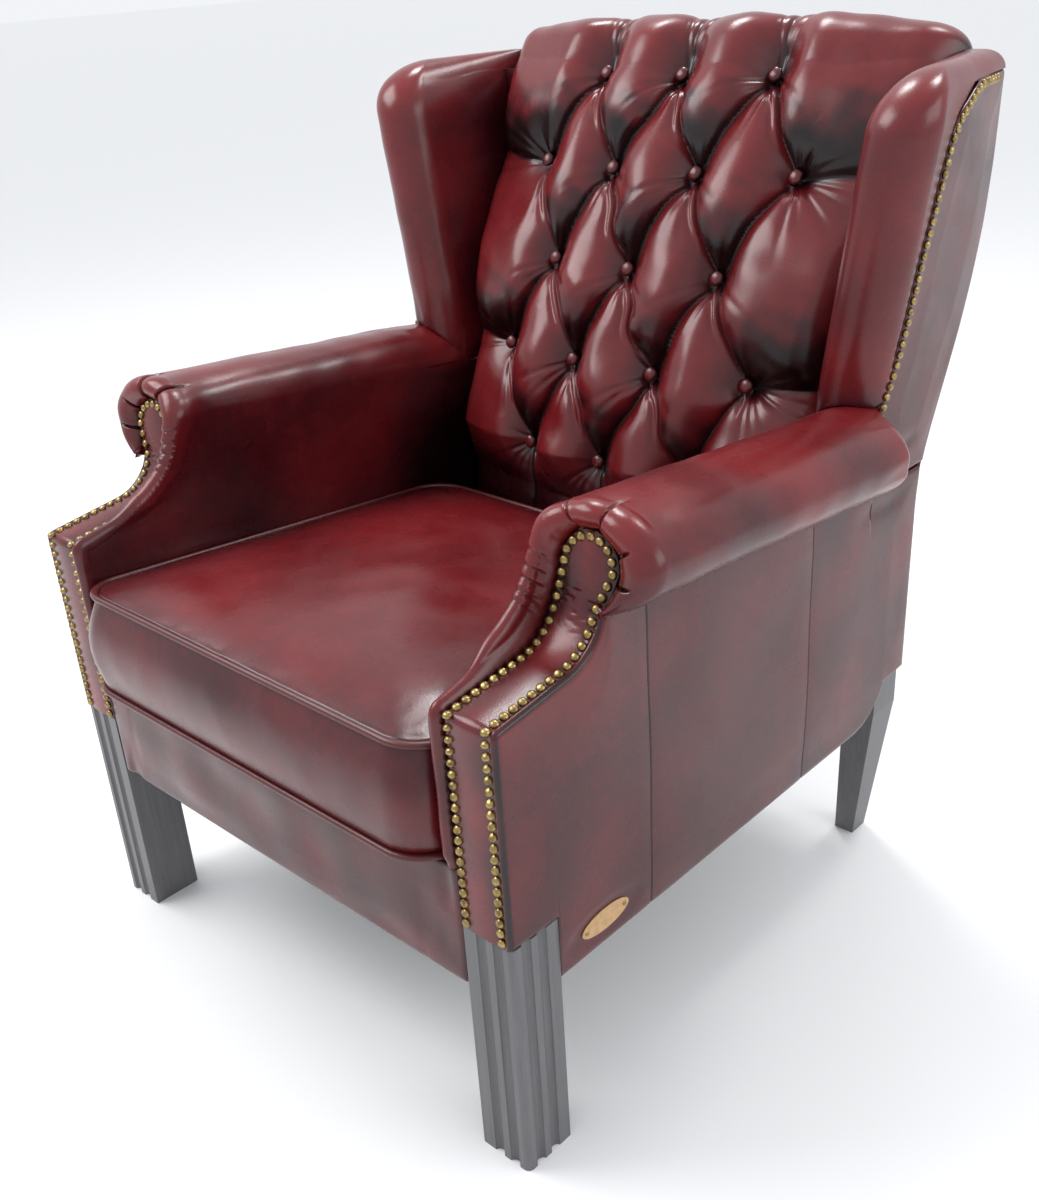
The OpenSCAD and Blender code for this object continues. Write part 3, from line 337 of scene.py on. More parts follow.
def loft(grid, painted_light_and_tone):
    """A closed body: rings of points one above another, with a fan of faces over the first and the
    last."""
    rows, cols = grid.shape[:2]
    points = np.concatenate([grid.reshape(-1, 3), grid[0].mean(0)[None], grid[-1].mean(0)[None]])
    j = np.arange(cols)
    k = (j + 1) % cols
    low = np.stack([k, j, np.full(cols, rows * cols)], -1)
    high = np.stack([j + (rows - 1) * cols, k + (rows - 1) * cols, np.full(cols, rows * cols + 1)], -1)
    faces = outward(points, quads(rows, cols, True).tolist() + low.tolist() + high.tolist())
    painted_light_and_tone = np.broadcast_to(painted_light_and_tone, (rows, cols))
    return points, faces, np.concatenate([painted_light_and_tone.ravel(), [painted_light_and_tone[0].mean(), painted_light_and_tone[-1].mean()]])


def mirrored(mesh, side):
    """The mesh for the left, or reflected for the right."""
    points, faces, painted_light_and_tone = mesh
    if side > 0:
        return mesh
    return points * [-1, 1, 1], [f[::-1] for f in faces], painted_light_and_tone


def placed(points):
    """Points moved from depths behind the front legs to the frame's own place."""
    return points + [0, SHIFT_Y, 0]


def on_seat(points):
    """Points of the seat's own frame, pitched down to the back and lifted to the platform."""
    x, y, z = np.moveaxis(points, -1, 0)
    c, s = math.cos(SEAT_PITCH), math.sin(SEAT_PITCH)
    return np.stack([x, y * c + z * s, z * c - y * s + SEAT_Z], -1)


def piece(name, mesh, kind, nodes, body=BODY):
    """Puts a mesh into the scene as a piece with its attribute of painted light and tone, finish,
    body, replaced nodes and slot."""
    points, faces, painted_light_and_tone = mesh
    data = bpy.data.meshes.new(name)
    data.from_pydata(placed(points).tolist(), [], faces)
    data.validate()
    data.polygons.foreach_set("use_smooth", np.ones(len(data.polygons), bool))
    # the attribute carries the painted light and shade of each piece, with some random tone
    data.attributes.new("painted_light_and_tone", "FLOAT", "POINT").data.foreach_set("value", np.asarray(painted_light_and_tone, np.float32))
    data.materials.append(finishes()[kind])
    obj = bpy.data.objects.new(name, data)
    bpy.context.scene.collection.objects.link(obj)
    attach(obj, body)
    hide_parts(*nodes)
    return obj


def sided(name, part, mesh, side, kind="leather"):
    """A piece of one side, named for it as is the node it replaces, reflected where it is the
    right."""
    which, way = side
    return piece(f"{name}_{which}", mirrored(mesh, way), kind, [f"{part}_{which}"])


def finish(wire):
    """Makes a function that wires a shader give the named material instead, made once."""
    def named(name, *colours, **looks):
        """The material of that name, wired where it isn't there yet."""
        material = bpy.data.materials.get(name)
        if material is None:
            material = bpy.data.materials.new(name)
            material.use_nodes = True
            tree = material.node_tree
            wire(tree, tree.nodes["Principled BSDF"], *colours, **looks)
        return material
    return named


def node(tree, kind, links=(), **values):
    """A node with its socket values, and links from other nodes' sockets to its own."""
    made = tree.nodes.new(kind)
    for key, value in values.items():
        if hasattr(made, key):
            setattr(made, key, value)
        else:
            made.inputs[key.replace("_", " ")].default_value = value
    for socket, source in links:
        tree.links.new(source, made.inputs[socket])
    return made


def ramp(tree, source, *stops):
    """A colour ramp through stops of place and colour."""
    made = node(tree, "ShaderNodeValToRGB", [(0, source)])
    points = made.color_ramp.elements
    while len(points) < len(stops):
        points.new(0.5)
    for point, (place, colour) in zip(points, stops):
        point.position, point.color = place, colour
    return made.outputs[0]


def object_place(tree):
    """Object coordinates."""
    return node(tree, "ShaderNodeTexCoord").outputs["Object"]


def noise(tree, place, scale, detail, **values):
    """A cloudy noise."""
    made = node(tree, "ShaderNodeTexNoise", [("Vector", place)], Scale=scale, Detail=detail, **values)
    return made.outputs["Fac"]


def worked(tree, operation, first, second):
    """Two values added or multiplied."""
    return node(tree, "ShaderNodeMath", [(0, first), (1, second)], operation=operation).outputs[0]


def carried(tree, source, low, high, to_low, to_high):
    """A value carried from one range to another."""
    return node(tree, "ShaderNodeMapRange", [(0, source)], From_Min=low, From_Max=high, To_Min=to_low,
                To_Max=to_high).outputs[0]


def connect(tree, shader, colour, height, strength, distance, rough=None):
    """Links the shader's colour, its bump from a height, and its roughness where that varies."""
    relief = node(tree, "ShaderNodeBump", [("Height", height)], Strength=strength, Distance=distance)
    sources = {"Base Color": colour, "Normal": relief.outputs[0], "Roughness": rough}
    for socket, source in sources.items():
        if source is not None:
            tree.links.new(source, shader.inputs[socket])


@finish
def leather(tree, shader, crown, ground, shade, rough=0.25, grain=0.08):
    """Hand-rubbed aniline leather, coloured through a ramp from the attribute of painted light
    and tone and two cloudy noises: the shade colour paints shade into the creases, folds and
    pits, the ground lies over most of it, and the crown colour paints highlights on the crowns
    that face the light; fine pores and soft wrinkles as bump; a waxed coat."""
    place = object_place(tree)
    painted_light_and_tone = node(tree, "ShaderNodeAttribute", attribute_name="painted_light_and_tone").outputs["Fac"]
    cloud = noise(tree, place, 7.0, 6.0, Roughness=0.62, Distortion=0.5)
    smear = noise(tree, place, 38.0, 5.0, Roughness=0.7, Distortion=1.2)
    spread_out = carried(tree, worked(tree, "ADD", cloud, smear), 0.72, 1.28, -0.12, 0.12)
    level = worked(tree, "ADD", painted_light_and_tone, spread_out)
    wear = noise(tree, place, 16.0, 4.0)
    pores = node(tree, "ShaderNodeTexVoronoi", [("Vector", place)], Scale=620.0, Randomness=1.0)
    wrinkles = noise(tree, place, 150.0, 6.0, Roughness=0.65)
    # low values give painted shade, middle ones the ground colour, high ones painted highlights
    connect(tree, shader, ramp(tree, level, (0.04, shade), (0.38, ground), (0.88, crown)),
            worked(tree, "ADD", pores.outputs["Distance"], wrinkles), grain, 0.001,
            carried(tree, wear, 0.3, 0.7, rough - 0.05, rough + 0.09))
    shader.inputs["Specular IOR Level"].default_value = 0.43
    shader.inputs["Coat Weight"].default_value = 0.10
    shader.inputs["Coat Roughness"].default_value = 0.22


@finish
def brass(tree, shader, colour, rough, metal=1.0, patina_depth=0.35):
    """Aged metal: the colour darkened by patches of patina, which are also duller, and fine dents
    as bump."""
    place = object_place(tree)
    patina = noise(tree, place, 140.0, 4.0)
    dark = tuple(v * patina_depth for v in colour[:3]) + (1,)
    dents = noise(tree, place, 900.0, 2.0)
    connect(tree, shader, ramp(tree, patina, (0.32, dark), (0.62, colour)), dents, 0.12, 0.0006,
            carried(tree, patina, 0.3, 0.7, rough + 0.16, rough))
    shader.inputs["Metallic"].default_value = metal


@finish
def wood(tree, shader, dark, light, rough):
    """Wood with its grain up the piece: noise stretched along Z mixes two colours and lifts fine
    pores."""
    along = node(tree, "ShaderNodeMapping", [("Vector", object_place(tree))], Scale=(1.0, 1.0, 0.05))
    figure = noise(tree, along.outputs[0], 160.0, 7.0, Roughness=0.6, Distortion=0.4)
    connect(tree, shader, ramp(tree, figure, (0.3, dark), (0.75, light)), figure, 0.25, 0.0005,
            carried(tree, figure, 0.3, 0.7, rough, rough + 0.14))


@finish
def weave(tree, shader, colour, threads):
    """Woven cloth: two crossed waves of threads as colour and bump."""
    place = object_place(tree)
    warp, weft = (node(tree, "ShaderNodeTexWave", [("Vector", place)], Scale=threads / 6.3,
                       bands_direction=way, Distortion=0.6).outputs["Fac"] for way in "XY")
    both = worked(tree, "MULTIPLY", warp, weft)
    pale = tuple(min(1, v * 1.7) for v in colour[:3]) + (1,)
    connect(tree, shader, ramp(tree, both, (0.0, colour), (1.0, pale)), both, 0.5, 0.0008)
    shader.inputs["Roughness"].default_value = 0.85


@finish
def painted(tree, shader, colour, rough):
    """An even, dull colour."""
    shader.inputs["Base Color"].default_value = colour
    shader.inputs["Roughness"].default_value = rough


def finishes():
    """The named finishes, made once from the colours."""
    c = bpy.context.scene.wing_chair_colours
    crown, ground, shade, piping = (tuple(v) for v in (c.crown, c.ground, c.shade, c.piping))
    return {
        "leather": leather("chair_leather", crown, ground, shade),
        "buttons": leather("chair_button_leather", crown, ground, shade, rough=0.24, grain=0.04),
        "piping": leather("chair_piping_leather", piping, piping, ground, rough=0.34, grain=0.05),
        "brass": brass("chair_brass", tuple(c.brass), 0.26),
        "plate": brass("chair_plate", tuple(c.plate), 0.34, metal=0.4, patina_depth=0.82),
        "steel": brass("chair_steel", (0.5, 0.5, 0.52, 1), 0.35),
        "stained": wood("chair_stained_wood", tuple(c.wood), (0.145, 0.143, 0.150, 1), 0.34),
        "beech": wood("chair_beech", (0.42, 0.26, 0.14, 1), (0.52, 0.35, 0.20, 1), 0.6),
        "board": wood("chair_board", (0.30, 0.20, 0.12, 1), (0.38, 0.27, 0.17, 1), 0.7),
        "cloth": weave("chair_dust_cloth", (0.012, 0.012, 0.013, 1), 900.0),
        "jute": weave("chair_jute", (0.26, 0.16, 0.08, 1), 420.0),
    }


S_TOP = (ROWS - 1) * ROW_PITCH
TOP_A = ROW_LEAN + S_TOP / BACK_R
BUTTONS = np.array([[x * HALF_PITCH, k * ROW_PITCH] for k in range(ROWS)
                    for x in ((-2, 0, 2) if k % 2 == 0 else (-3, -1, 1, 3))])


def blurred(values, reach):
    """A row of values averaged over that many places to either side."""
    window = 2 * reach + 1
    return np.convolve(np.pad(values, reach, mode="edge"), np.ones(window) / window, "valid")


def station(s):
    """Depth, height and lean of the back's ground at a run s above the lowest buttons, and the
    share of the way over the top: an arc of radius BACK_R, and above the top row a short straight
    and the roll."""
    lean = ROW_LEAN + np.minimum(s, S_TOP) / BACK_R
    over = np.maximum(0, (s - S_TOP) / ROW_PITCH)
    arc_y = BUTTON_Y + BACK_R * (math.cos(ROW_LEAN) - np.cos(lean))
    arc_z = BUTTON_Z + BACK_R * (np.sin(lean) - math.sin(ROW_LEAN))
    turn = TOP_A + (TOP_END - TOP_A) * over
    step = np.clip(over * 7, 0, 1) * TOP_STRAIGHT
    roll_y = step * math.sin(TOP_A) + TOP_ROLL_R * (math.cos(TOP_A) - np.cos(turn))
    roll_z = step * math.cos(TOP_A) + TOP_ROLL_R * (np.sin(turn) - math.sin(TOP_A))
    above = s > S_TOP
    return (arc_y + np.where(above, roll_y, 0), arc_z + np.where(above, roll_z, 0),
            np.where(above, turn, lean), over)


def back_half(z):
    """Half width of the back pad at a height: the clear width between the wings."""
    return np.minimum(HALF + flare(z) - 2 * WING_R, BACK_LIMIT) - 0.0015


def back_wrap(x):
    """How far the sides of the back lie behind its middle."""
    return BACK_WRAP * (x / (3 * HALF_PITCH) * 0.66) ** 2


def pillow_side(share):
    """How full a pillow is across one of its two ways, 1 at most: it overhangs the fold below it,
    where share is 0, and falls away in an easy slope to the fold above, where share is 1."""
    share = np.clip(share, 0, 1)
    return share ** 0.42 * (1 - share) ** 0.80 / 0.4386


def back_columns(z, cols):
    """Widths of the columns at each height, even as far as the outer buttons and then on to the
    edge, and the half width there: the clear width, and a little over the wings' edges near the
    top."""
    wider, wider_from, knee, inside = 0.010, 0.93, 0.6, 3 * HALF_PITCH
    half = back_half(np.minimum(z, FRAME_H)) + wider * smooth((z - wider_from) / 0.05)
    share = np.linspace(1, -1, cols)[None, :]
    beyond = inside + (half - inside) * (np.abs(share) - knee) / (1 - knee)
    return np.where(np.abs(share) < knee, share / knee * inside, np.sign(share) * beyond), half


def gathers(away, far):
    """Short gathers that fan out from each button, eight below it and three above, each a ray whose
    height rises and dies away along its reach. At the outer buttons four of them run to the side,
    and at the top row three reach on over the roll. away holds each point's offset from each
    button, and far its length."""
    below, above = 8, 3
    rng = np.random.default_rng(11)
    fan = np.zeros(far.shape[:2])
    for k, (bx, bs) in enumerate(BUTTONS):
        d, a = far[..., k], np.arctan2(away[..., k, 1], away[..., k, 0])
        centre = np.concatenate([np.linspace(-2.55, -0.60, below) + rng.uniform(-0.09, 0.09, below),
                                 rng.uniform(0.2, 2.9, above)])
        reach = np.concatenate([rng.uniform(0.013, 0.024, below), rng.uniform(0.006, 0.010, above)])
        if abs(bx) > 2.5 * HALF_PITCH:
            centre[:4] = (0 if bx > 0 else np.pi) + np.array([-0.46, -0.24, 0.04, 0.26])
            reach[:4] *= 2
        if bs > S_TOP - 0.01:
            centre[-above:] = np.pi / 2 + np.array([-0.34, 0.02, 0.30])
            reach[-above:] = (0.030, 0.040, 0.026)
        for c, r, high in zip(centre, reach, rng.uniform(0.5, 1.0, len(reach))):
            turned = (a - c + np.pi) % (2 * np.pi) - np.pi
            ray = bump(turned, 0.06 + 0.0011 / np.maximum(d, 0.006))
            fan += high * ray * (d / r) * np.exp(1 - d / r) * (d > 0.002) * (d < 5 * r)
    return fan


def back_grid(sizes, cols=380, rows=430):
    """The buttoned face. Height over the ground = bulge * (part fold + the rest pit) at each point,
    where fold is the product of pillow_side across the two ways of a diamond, and pit falls to
    nothing at each button, further above it than below. A narrow second pleat follows the right-
    hand fold under each button, short gathers fan out from each button, and the folds fade on the
    roll over the top, which falls a little to its ends. The attribute of painted light and tone
    is high, a painted highlight, on the crowns that face up, and low, painted shade, in the folds
    and gathers, round the buttons, at the sides and at the foot."""
    s = np.linspace(-1.7 * ROW_PITCH, S_TOP + ROW_PITCH, rows)[:, None] * np.ones((1, cols))
    y, z, lean, over = station(s)
    x, half = back_columns(z, cols)
    spot = np.stack([x, s], -1)
    away = spot[:, :, None] - BUTTONS
    far = np.linalg.norm(away, axis=-1)
    longer_above = np.where(away[..., 1:] > 0, [1.0, 0.72], [1.0, 1.35])
    pitted = np.linalg.norm(away * longer_above, axis=-1).min(-1)

    # the diamonds wander a little between the buttons
    wander = 0.0045 * (1 - bump(far.min(-1), 0.045))
    wx, ws = x + wander * ripple(spot, 3, 0.16), s + wander * ripple(spot, 4, 0.16)
    cx, cs = np.clip(wx / HALF_PITCH, -3, 3), np.clip(ws, 0, S_TOP) / ROW_PITCH
    rising, falling = (cx + cs) % 2 / 2, 1 - (cx - cs) % 2 / 2
    fold = pillow_side(rising) * pillow_side(falling)
    pit = 1 - bump(pitted, 0.030)
    rolled = np.minimum(over, 1)
    part = 0.66 * (1 - 0.90 * smooth(over / 0.28))
    e = np.clip((np.abs(x) - half + BACK_EDGE_R) / BACK_EDGE_R, 0, 1)
    side = np.sqrt(1 - e * e * 0.98)
    foot = np.where(s >= 0, 1, np.maximum(0.15, 1 + s / (ROW_PITCH / 2) * 0.85))
    crest = np.sqrt(1 - rolled ** 3 * 0.99)
    h = sizes.bulge * foot * side * crest * (part * fold + (1 - part) * pit)

    # the second pleat, the gathers and a slight unevenness
    field = smooth((s + 0.01) / 0.02) * smooth((S_TOP - s) / 0.02)
    inner = smooth((3.05 - np.abs(wx / HALF_PITCH)) / 0.1)
    below = 1 - cs % 1
    along = smooth(below / 0.10) * smooth((0.80 - below) / 0.35) * field * inner
    second = bump(1 - rising - 0.055, 0.028) - 0.8 * bump(1 - rising - 0.105, 0.030)
    h += sizes.tuck * second * along * side
    fan = gathers(away, far)
    h -= sizes.gather * np.clip(fan, 0, 1.2) * side * smooth((s + 0.15) / 0.05)
    h += 0.0006 * ripple(spot, 5, 0.07) * pit * side
    fall, end_fall = BACK_EDGE_FALL * (1 - side) * (1 - 0.6 * rolled), 0.017
    z = z - end_fall * np.sin(np.pi * rolled) * smooth((np.abs(x) - 0.15) / 0.19)
    y = y + back_wrap(x) * (1 - rolled) + (fall - h) * np.cos(lean)
    grid = np.stack([x, y, z + h * np.sin(lean)], -1)

    # painted shade along the folds of the diamonds, fading over the roll
    crease = bump(least(rising, 1 - rising, falling, 1 - falling), 0.020) * (1 - 0.6 * rolled)
    # painted light: each pillow lighter on its upper part, which faces up, and dark at its foot above
    # the button below, with a blotchy edge; lighter over the roll on top
    lit = smooth((rising + falling - 0.16 + 0.07 * ripple(spot, 6, 0.045)) / 0.66)
    lit = np.where(over > 0, lit + (1 - lit) * smooth(over / 0.3), lit)
    # painted shade towards the sides and the foot of the back, and along the folds
    painted_light_and_tone = 0.02 + 0.72 * lit * smooth((side - 0.25) / 0.6) * foot - 0.45 * crease
    # painted shade in the gathers and in the pits round the buttons
    return grid, painted_light_and_tone - 0.14 * np.clip(fan, 0, 1) - 0.50 * bump(pitted, 0.025), s[:, 0]


def pad_back(sizes):
    """The buttoned pad as rings: its face from one side to the other, and its flat rear."""
    grid, painted_light_and_tone, s = back_grid(sizes)
    _, z, _, over = station(s)
    top = np.minimum(z, FRAME_H)
    below, clear, rail_d = s <= S_TOP, 0.0045, 0.064
    flat = np.where(below, upright_y(top) - clear, rear_y(FRAME_H) - rail_d * (1 - np.minimum(over, 1)))
    half, z = np.abs(grid[:, 0, 0]), np.where(below, top, FRAME_H)
    ring = np.concatenate([grid] + [spread(x, flat, z)[:, None] for x in (-half, half)], 1)
    return loft(ring, np.concatenate([painted_light_and_tone, np.full((len(painted_light_and_tone), 2), 0.3)], 1))


def button_meshes(sizes, sides=24):
    """Covered buttons: a dome on a tapered underside, turned about the leather's normal at each
    button."""
    proud = 0.0105
    rise = np.array([-0.010, -0.004, 0.0, 0.0018, 0.0036, 0.0052, 0.0062, 0.0066]) + proud
    wide = np.array([0.15, 0.70, 0.94, 1.0, 0.93, 0.74, 0.44, 0.12])[:, None]
    turn = np.linspace(0, 2 * np.pi, sides, endpoint=False)
    pucker = 1 - 0.03 * np.cos(6 * turn)[None, :] * np.linspace(1, 0, len(rise))[:, None]
    radius = wide * pucker * sizes.button_width / 2
    ring = spread(np.cos(turn) * radius, np.sin(turn) * radius, rise[:, None])
    # painted shade round the foot of each button, lightening to a painted highlight on the top of its
    # dome
    painted_light_and_tone = np.linspace(0.1, 0.62, len(rise))[:, None]
    parts = []
    for bx, y, z, lean in zip(BUTTONS[:, 0], *station(BUTTONS[:, 1])[:3]):
        c, s = math.cos(lean), math.sin(lean)
        axes = np.array([[1, 0, 0], [0, s, c], [0, -c, s]])
        parts.append(loft(ring @ axes + [bx, y + back_wrap(bx), z], painted_light_and_tone))
    return joined(parts)


def cushion_ring(inset, height, arc=14, straight=34):
    """The cushion's outline drawn in by each inset, at each height: four arcs joined by straight
    sides. The arcs shrink with the outline."""
    inset, height = np.atleast_1d(inset), np.atleast_1d(height)
    turn = np.linspace(0, 1, arc + 1)
    mix = np.arange(1, straight) / straight
    signs = ((1, 1), (1, -1), (-1, -1), (-1, 1))
    corners = []
    for q, (sx, sy) in enumerate(signs):
        nx, ny = signs[(q + 1) % 4]
        angle = np.pi / 2 * (1 - q - turn)
        on = np.concatenate([angle, np.full(straight - 1, angle[-1])])
        share = np.concatenate([0 * turn, mix])
        corners.append((sx + (nx - sx) * share, sy + (ny - sy) * share, np.cos(on), np.sin(on)))
    ax, ay, bx, by = (np.concatenate(v)[None, :] for v in zip(*corners))
    w, d = (CUSHION_HALF - inset)[:, None], (CUSHION_D / 2 - inset)[:, None]
    r = np.minimum(w, d) * CORNER_R / CUSHION_HALF
    middle = CUSHION_D / 2 - FRONT_REACH
    return spread(ax * (w - r) + bx * r, middle + ay * (d - r) + by * r, height[:, None])


def cushion_mesh(sizes):
    """The cover as rings: a flat underside, the piped edge, a border that bulges most at the front
    and is gathered along its pipings, the piped edge and a crown that rises as 1 - (1 - t)^4 of the
    way to the middle, with a few soft hollows where it has been sat on."""
    flat, rim = 24, 0.0075
    border = np.linspace(0, 1, 34)
    edge = np.linspace(0, 1, 62)[1:] ** 1.35
    high = CUSHION_HIGH + PIPING_R
    inset = np.concatenate([np.linspace(CUSHION_HALF * 0.94, 0.012, flat), [0.008, rim],
                            0.0062 - 0.0057 * np.sin(np.pi * border) ** 0.6,
                            rim + (CUSHION_HALF * 0.95 - rim) * edge])
    height = np.concatenate([np.full(flat, 0.0008), [0.0012, CUSHION_LOW],
                             CUSHION_LOW + 0.002 + (CUSHION_HIGH - CUSHION_LOW - 0.004) * border,
                             high - 0.002 + (sizes.crown - PIPING_R + 0.002) * (1 - (1 - edge) ** 4)])
    grid = cushion_ring(inset, height, 18, 52)
    # how far each ring belongs to the crown, to the border's wall and to the brim by the upper piping
    crown, wall, brim = np.zeros((3, len(inset), 1))
    crown[-len(edge):, 0] = np.minimum(1, edge * 9)
    wall[flat + 2:flat + 2 + len(border), 0] = np.sin(np.pi * border) ** 0.7
    brim[-len(edge):, 0] = smooth(edge / 0.02) * np.exp(-edge / 0.10)
    lift = 0.0009 * ripple(grid * [1, 1.3, 1], 21, 0.30) + 0.00025 * ripple(grid, 22, 0.09)
    tight = 0.0006 * np.abs(ripple(grid * [1, 1, 0.2], 25, 0.040))
    grid[..., 2] += (lift - 0.0010) * crown - tight * brim

    x, y, z = np.moveaxis(grid, -1, 0)
    ahead = smooth((0.06 - FRONT_REACH - y) / 0.06)
    corner = bump(np.abs(x) - 0.27, 0.05) * ahead
    gather = np.maximum(0, ripple(grid * [1, 1, 0.25], 26, 0.016)) * (0.3 + corner) \
        * (bump(z - CUSHION_LOW, 0.022) + bump(z - CUSHION_HIGH, 0.022))
    drag = 0.0100 * ahead * wall ** 0.7 - 0.0007 * np.abs(ripple(grid * [1, 1, 0.8], 23, 0.13)) \
        - 0.0011 * gather - 0.0003
    out = (grid - [0, CUSHION_D / 2 - FRONT_REACH, 0]) * [1, 1, 0]
    out /= np.linalg.norm(out, axis=-1, keepdims=True)
    grid += out * (drag * wall)[..., None]
    # painted sheen: the top lighter towards its middle across the width; random tone over the top and
    # the border; painted shade on the underside and along both pipings
    painted_light_and_tone = 0.46 + 0.26 * crown * smooth((CUSHION_HALF - np.abs(grid[..., 0])) / 0.20) \
        + 0.05 * ripple(grid * [1, 0.6, 1], 24, 0.20) * crown \
        + 0.07 * wall * ripple(grid * [0.5, 0.5, 2.0], 27, 0.16) - 0.25 * (crown + wall < 0.05)
    points, faces, painted_light_and_tone = loft(grid, painted_light_and_tone)
    return on_seat(points), faces, painted_light_and_tone


def piping_mesh(height, sides=12):
    """A round cord along the cushion's outline at a height, and its random tone."""
    turn = np.linspace(0, 2 * np.pi, sides, endpoint=False)
    ring = cushion_ring(PIPING_R * (1 - np.cos(turn)), height + PIPING_R * np.sin(turn))
    grid = np.moveaxis(ring, 0, 1)
    rows, cols = grid.shape[:2]
    faces = quads(rows + 1, cols, True) % (rows * cols)
    points = on_seat(grid.reshape(-1, 3))
    return points, outward(points, faces.tolist()), 0.55 + 0.2 * ripple(grid, 31, 0.05).ravel()


def by_column(inside, roll):
    """A value for each column of an arm: those of the inside arm, then those of its roll."""
    return np.concatenate([np.broadcast_to(inside, ARM_COLS), np.broadcast_to(roll, ARM_COLS)])


def arm_edge(front, ahead, angle):
    """The front edge of the arm's leather, up the inside arm and round the roll, its forward
    directions, and its edge at the rear. The roll is half an ellipse on either side of its
    crest."""
    wide = np.where(np.cos(angle) < 0, ROLL_IN, ROLL_OUT)
    rx, rz = CREST_X + wide * np.cos(angle), ROLL_RISE * np.sin(angle)
    ry = np.full(ARM_COLS, SCROLL_Y)
    for _ in range(4):
        ry = lean_y(axis_z(ry) + rz)
    edge = np.concatenate([spread(INNER, front[:, 0], front[:, 1]), spread(rx, ry, axis_z(ry) + rz)])
    way = np.concatenate([ahead, np.broadcast_to(SCROLL_WAY, (ARM_COLS, 2))])
    for _ in range(6):
        way[1:-1] = (way[:-2] + 2 * way[1:-1] + way[2:]) / 4
    way = np.concatenate([np.zeros((len(way), 1)), way / np.linalg.norm(way, axis=1, keepdims=True)], 1)
    # the roll ends at the wing, but its inner half runs on to the upright
    wing_end, inner_half = ARM_END_Y + 0.004, smooth((angle - 1.20) / 0.25)
    end = wing_end + inner_half * (upright_y(NECK_Z) - wing_end)
    z = seat_line(BODY_D) + (axis_z(0.70) - seat_line(BODY_D)) * np.linspace(0, 1, ARM_COLS)
    return edge, way, np.concatenate([spread(INNER, upright_y(z), z), spread(rx, end, axis_z(end) + rz)])


def facing_edge(front, angle):
    """The edge of the facing across from each column of the arm: up the neck, then round the
    scroll's head."""
    up = front[:, 1]
    above = (up - SEAM_Z) * (HEAD_Z - SEAM_Z) / (ARM_AXIS_Z - SEAM_Z)
    z = np.where(up > SEAM_Z, SEAM_Z + above, up)
    y = front[:, 0] - (up - z) * math.tan(SCROLL_LEAN) * smooth((up - SEAM_Z) / 0.03)
    low = np.clip(-angle / -angle[-1], 0, 1)
    head_x = np.where(angle > 0, HEAD_X + HEAD_R * np.cos(angle), HEAD_X + HEAD_R - 0.0115 * low)
    head_z = np.where(angle > 0, HEAD_Z + HEAD_R * np.sin(angle), HEAD_Z - 0.040 * low)
    neck_x = np.interp(up, [NECK_Z, HEAD_Z], [FACE_X, HEAD_X - HEAD_R])
    return np.concatenate([spread(neck_x, y, z), spread(head_x, lean_y(head_z), head_z)])


def pleats(run, angle, turned, back, seed):
    """The pleats over the scroll, two deep ones and two short ones at its outer side: the depth of
    their sharp slits, the height of the lip beside each, and how near each column is to one. run is
    the length along the edge, turned the angle round the band and back the distance behind it."""
    rng = np.random.default_rng(seed)
    on_band = turned > 0
    slit, lip, near = 0.0, 0.0, 0.0
    for at, short, slant in ((116, 0, 0.5), (73, 0, 0.35), (29, 1, 0.1), (-16, 1, -0.15)):
        place = np.interp(math.radians(180 - at), np.pi - angle, run[ARM_COLS:])
        shift = run - place + slant * 0.010 * (1.6 - np.clip(turned, 0, 3)) + rng.uniform(-0.002, 0.002)
        long_reach = np.where(on_band, smooth((turned + 0.3) / 0.6), 0.6 * bump(back, 0.010))
        reach = smooth((turned - 1.35) / 0.5) if short else long_reach
        slit += reach * bump(shift, 0.0019)
        lip += reach * np.tanh(shift / 0.002) * np.exp(-np.abs(shift) / 0.012) * (0.5 if short else 1.0)
        near += bump(run - place, 0.013) * (0.45 if short else 1.0)
    return slit, lip, near


def band_creases(before, turned):
    """Five slanting creases, each with a lip, where the band climbs to the scroll; before is the
    length from each column to the scroll."""
    creases = 0.0
    for place, deep in ((0.012, 0.6), (0.028, 0.8), (0.041, 0.9), (0.056, 0.8), (0.068, 0.5)):
        slant = place - before - 0.013 * (np.clip(turned, 0, 3) / 3 - 0.35)
        creases += deep * (bump(slant, 0.0022) - 0.5 * bump(slant - 0.0052, 0.0026)) * (turned > 0) \
            * smooth((turned - 0.25) / 0.4) * smooth((2.3 - turned) / 0.5)
    return creases


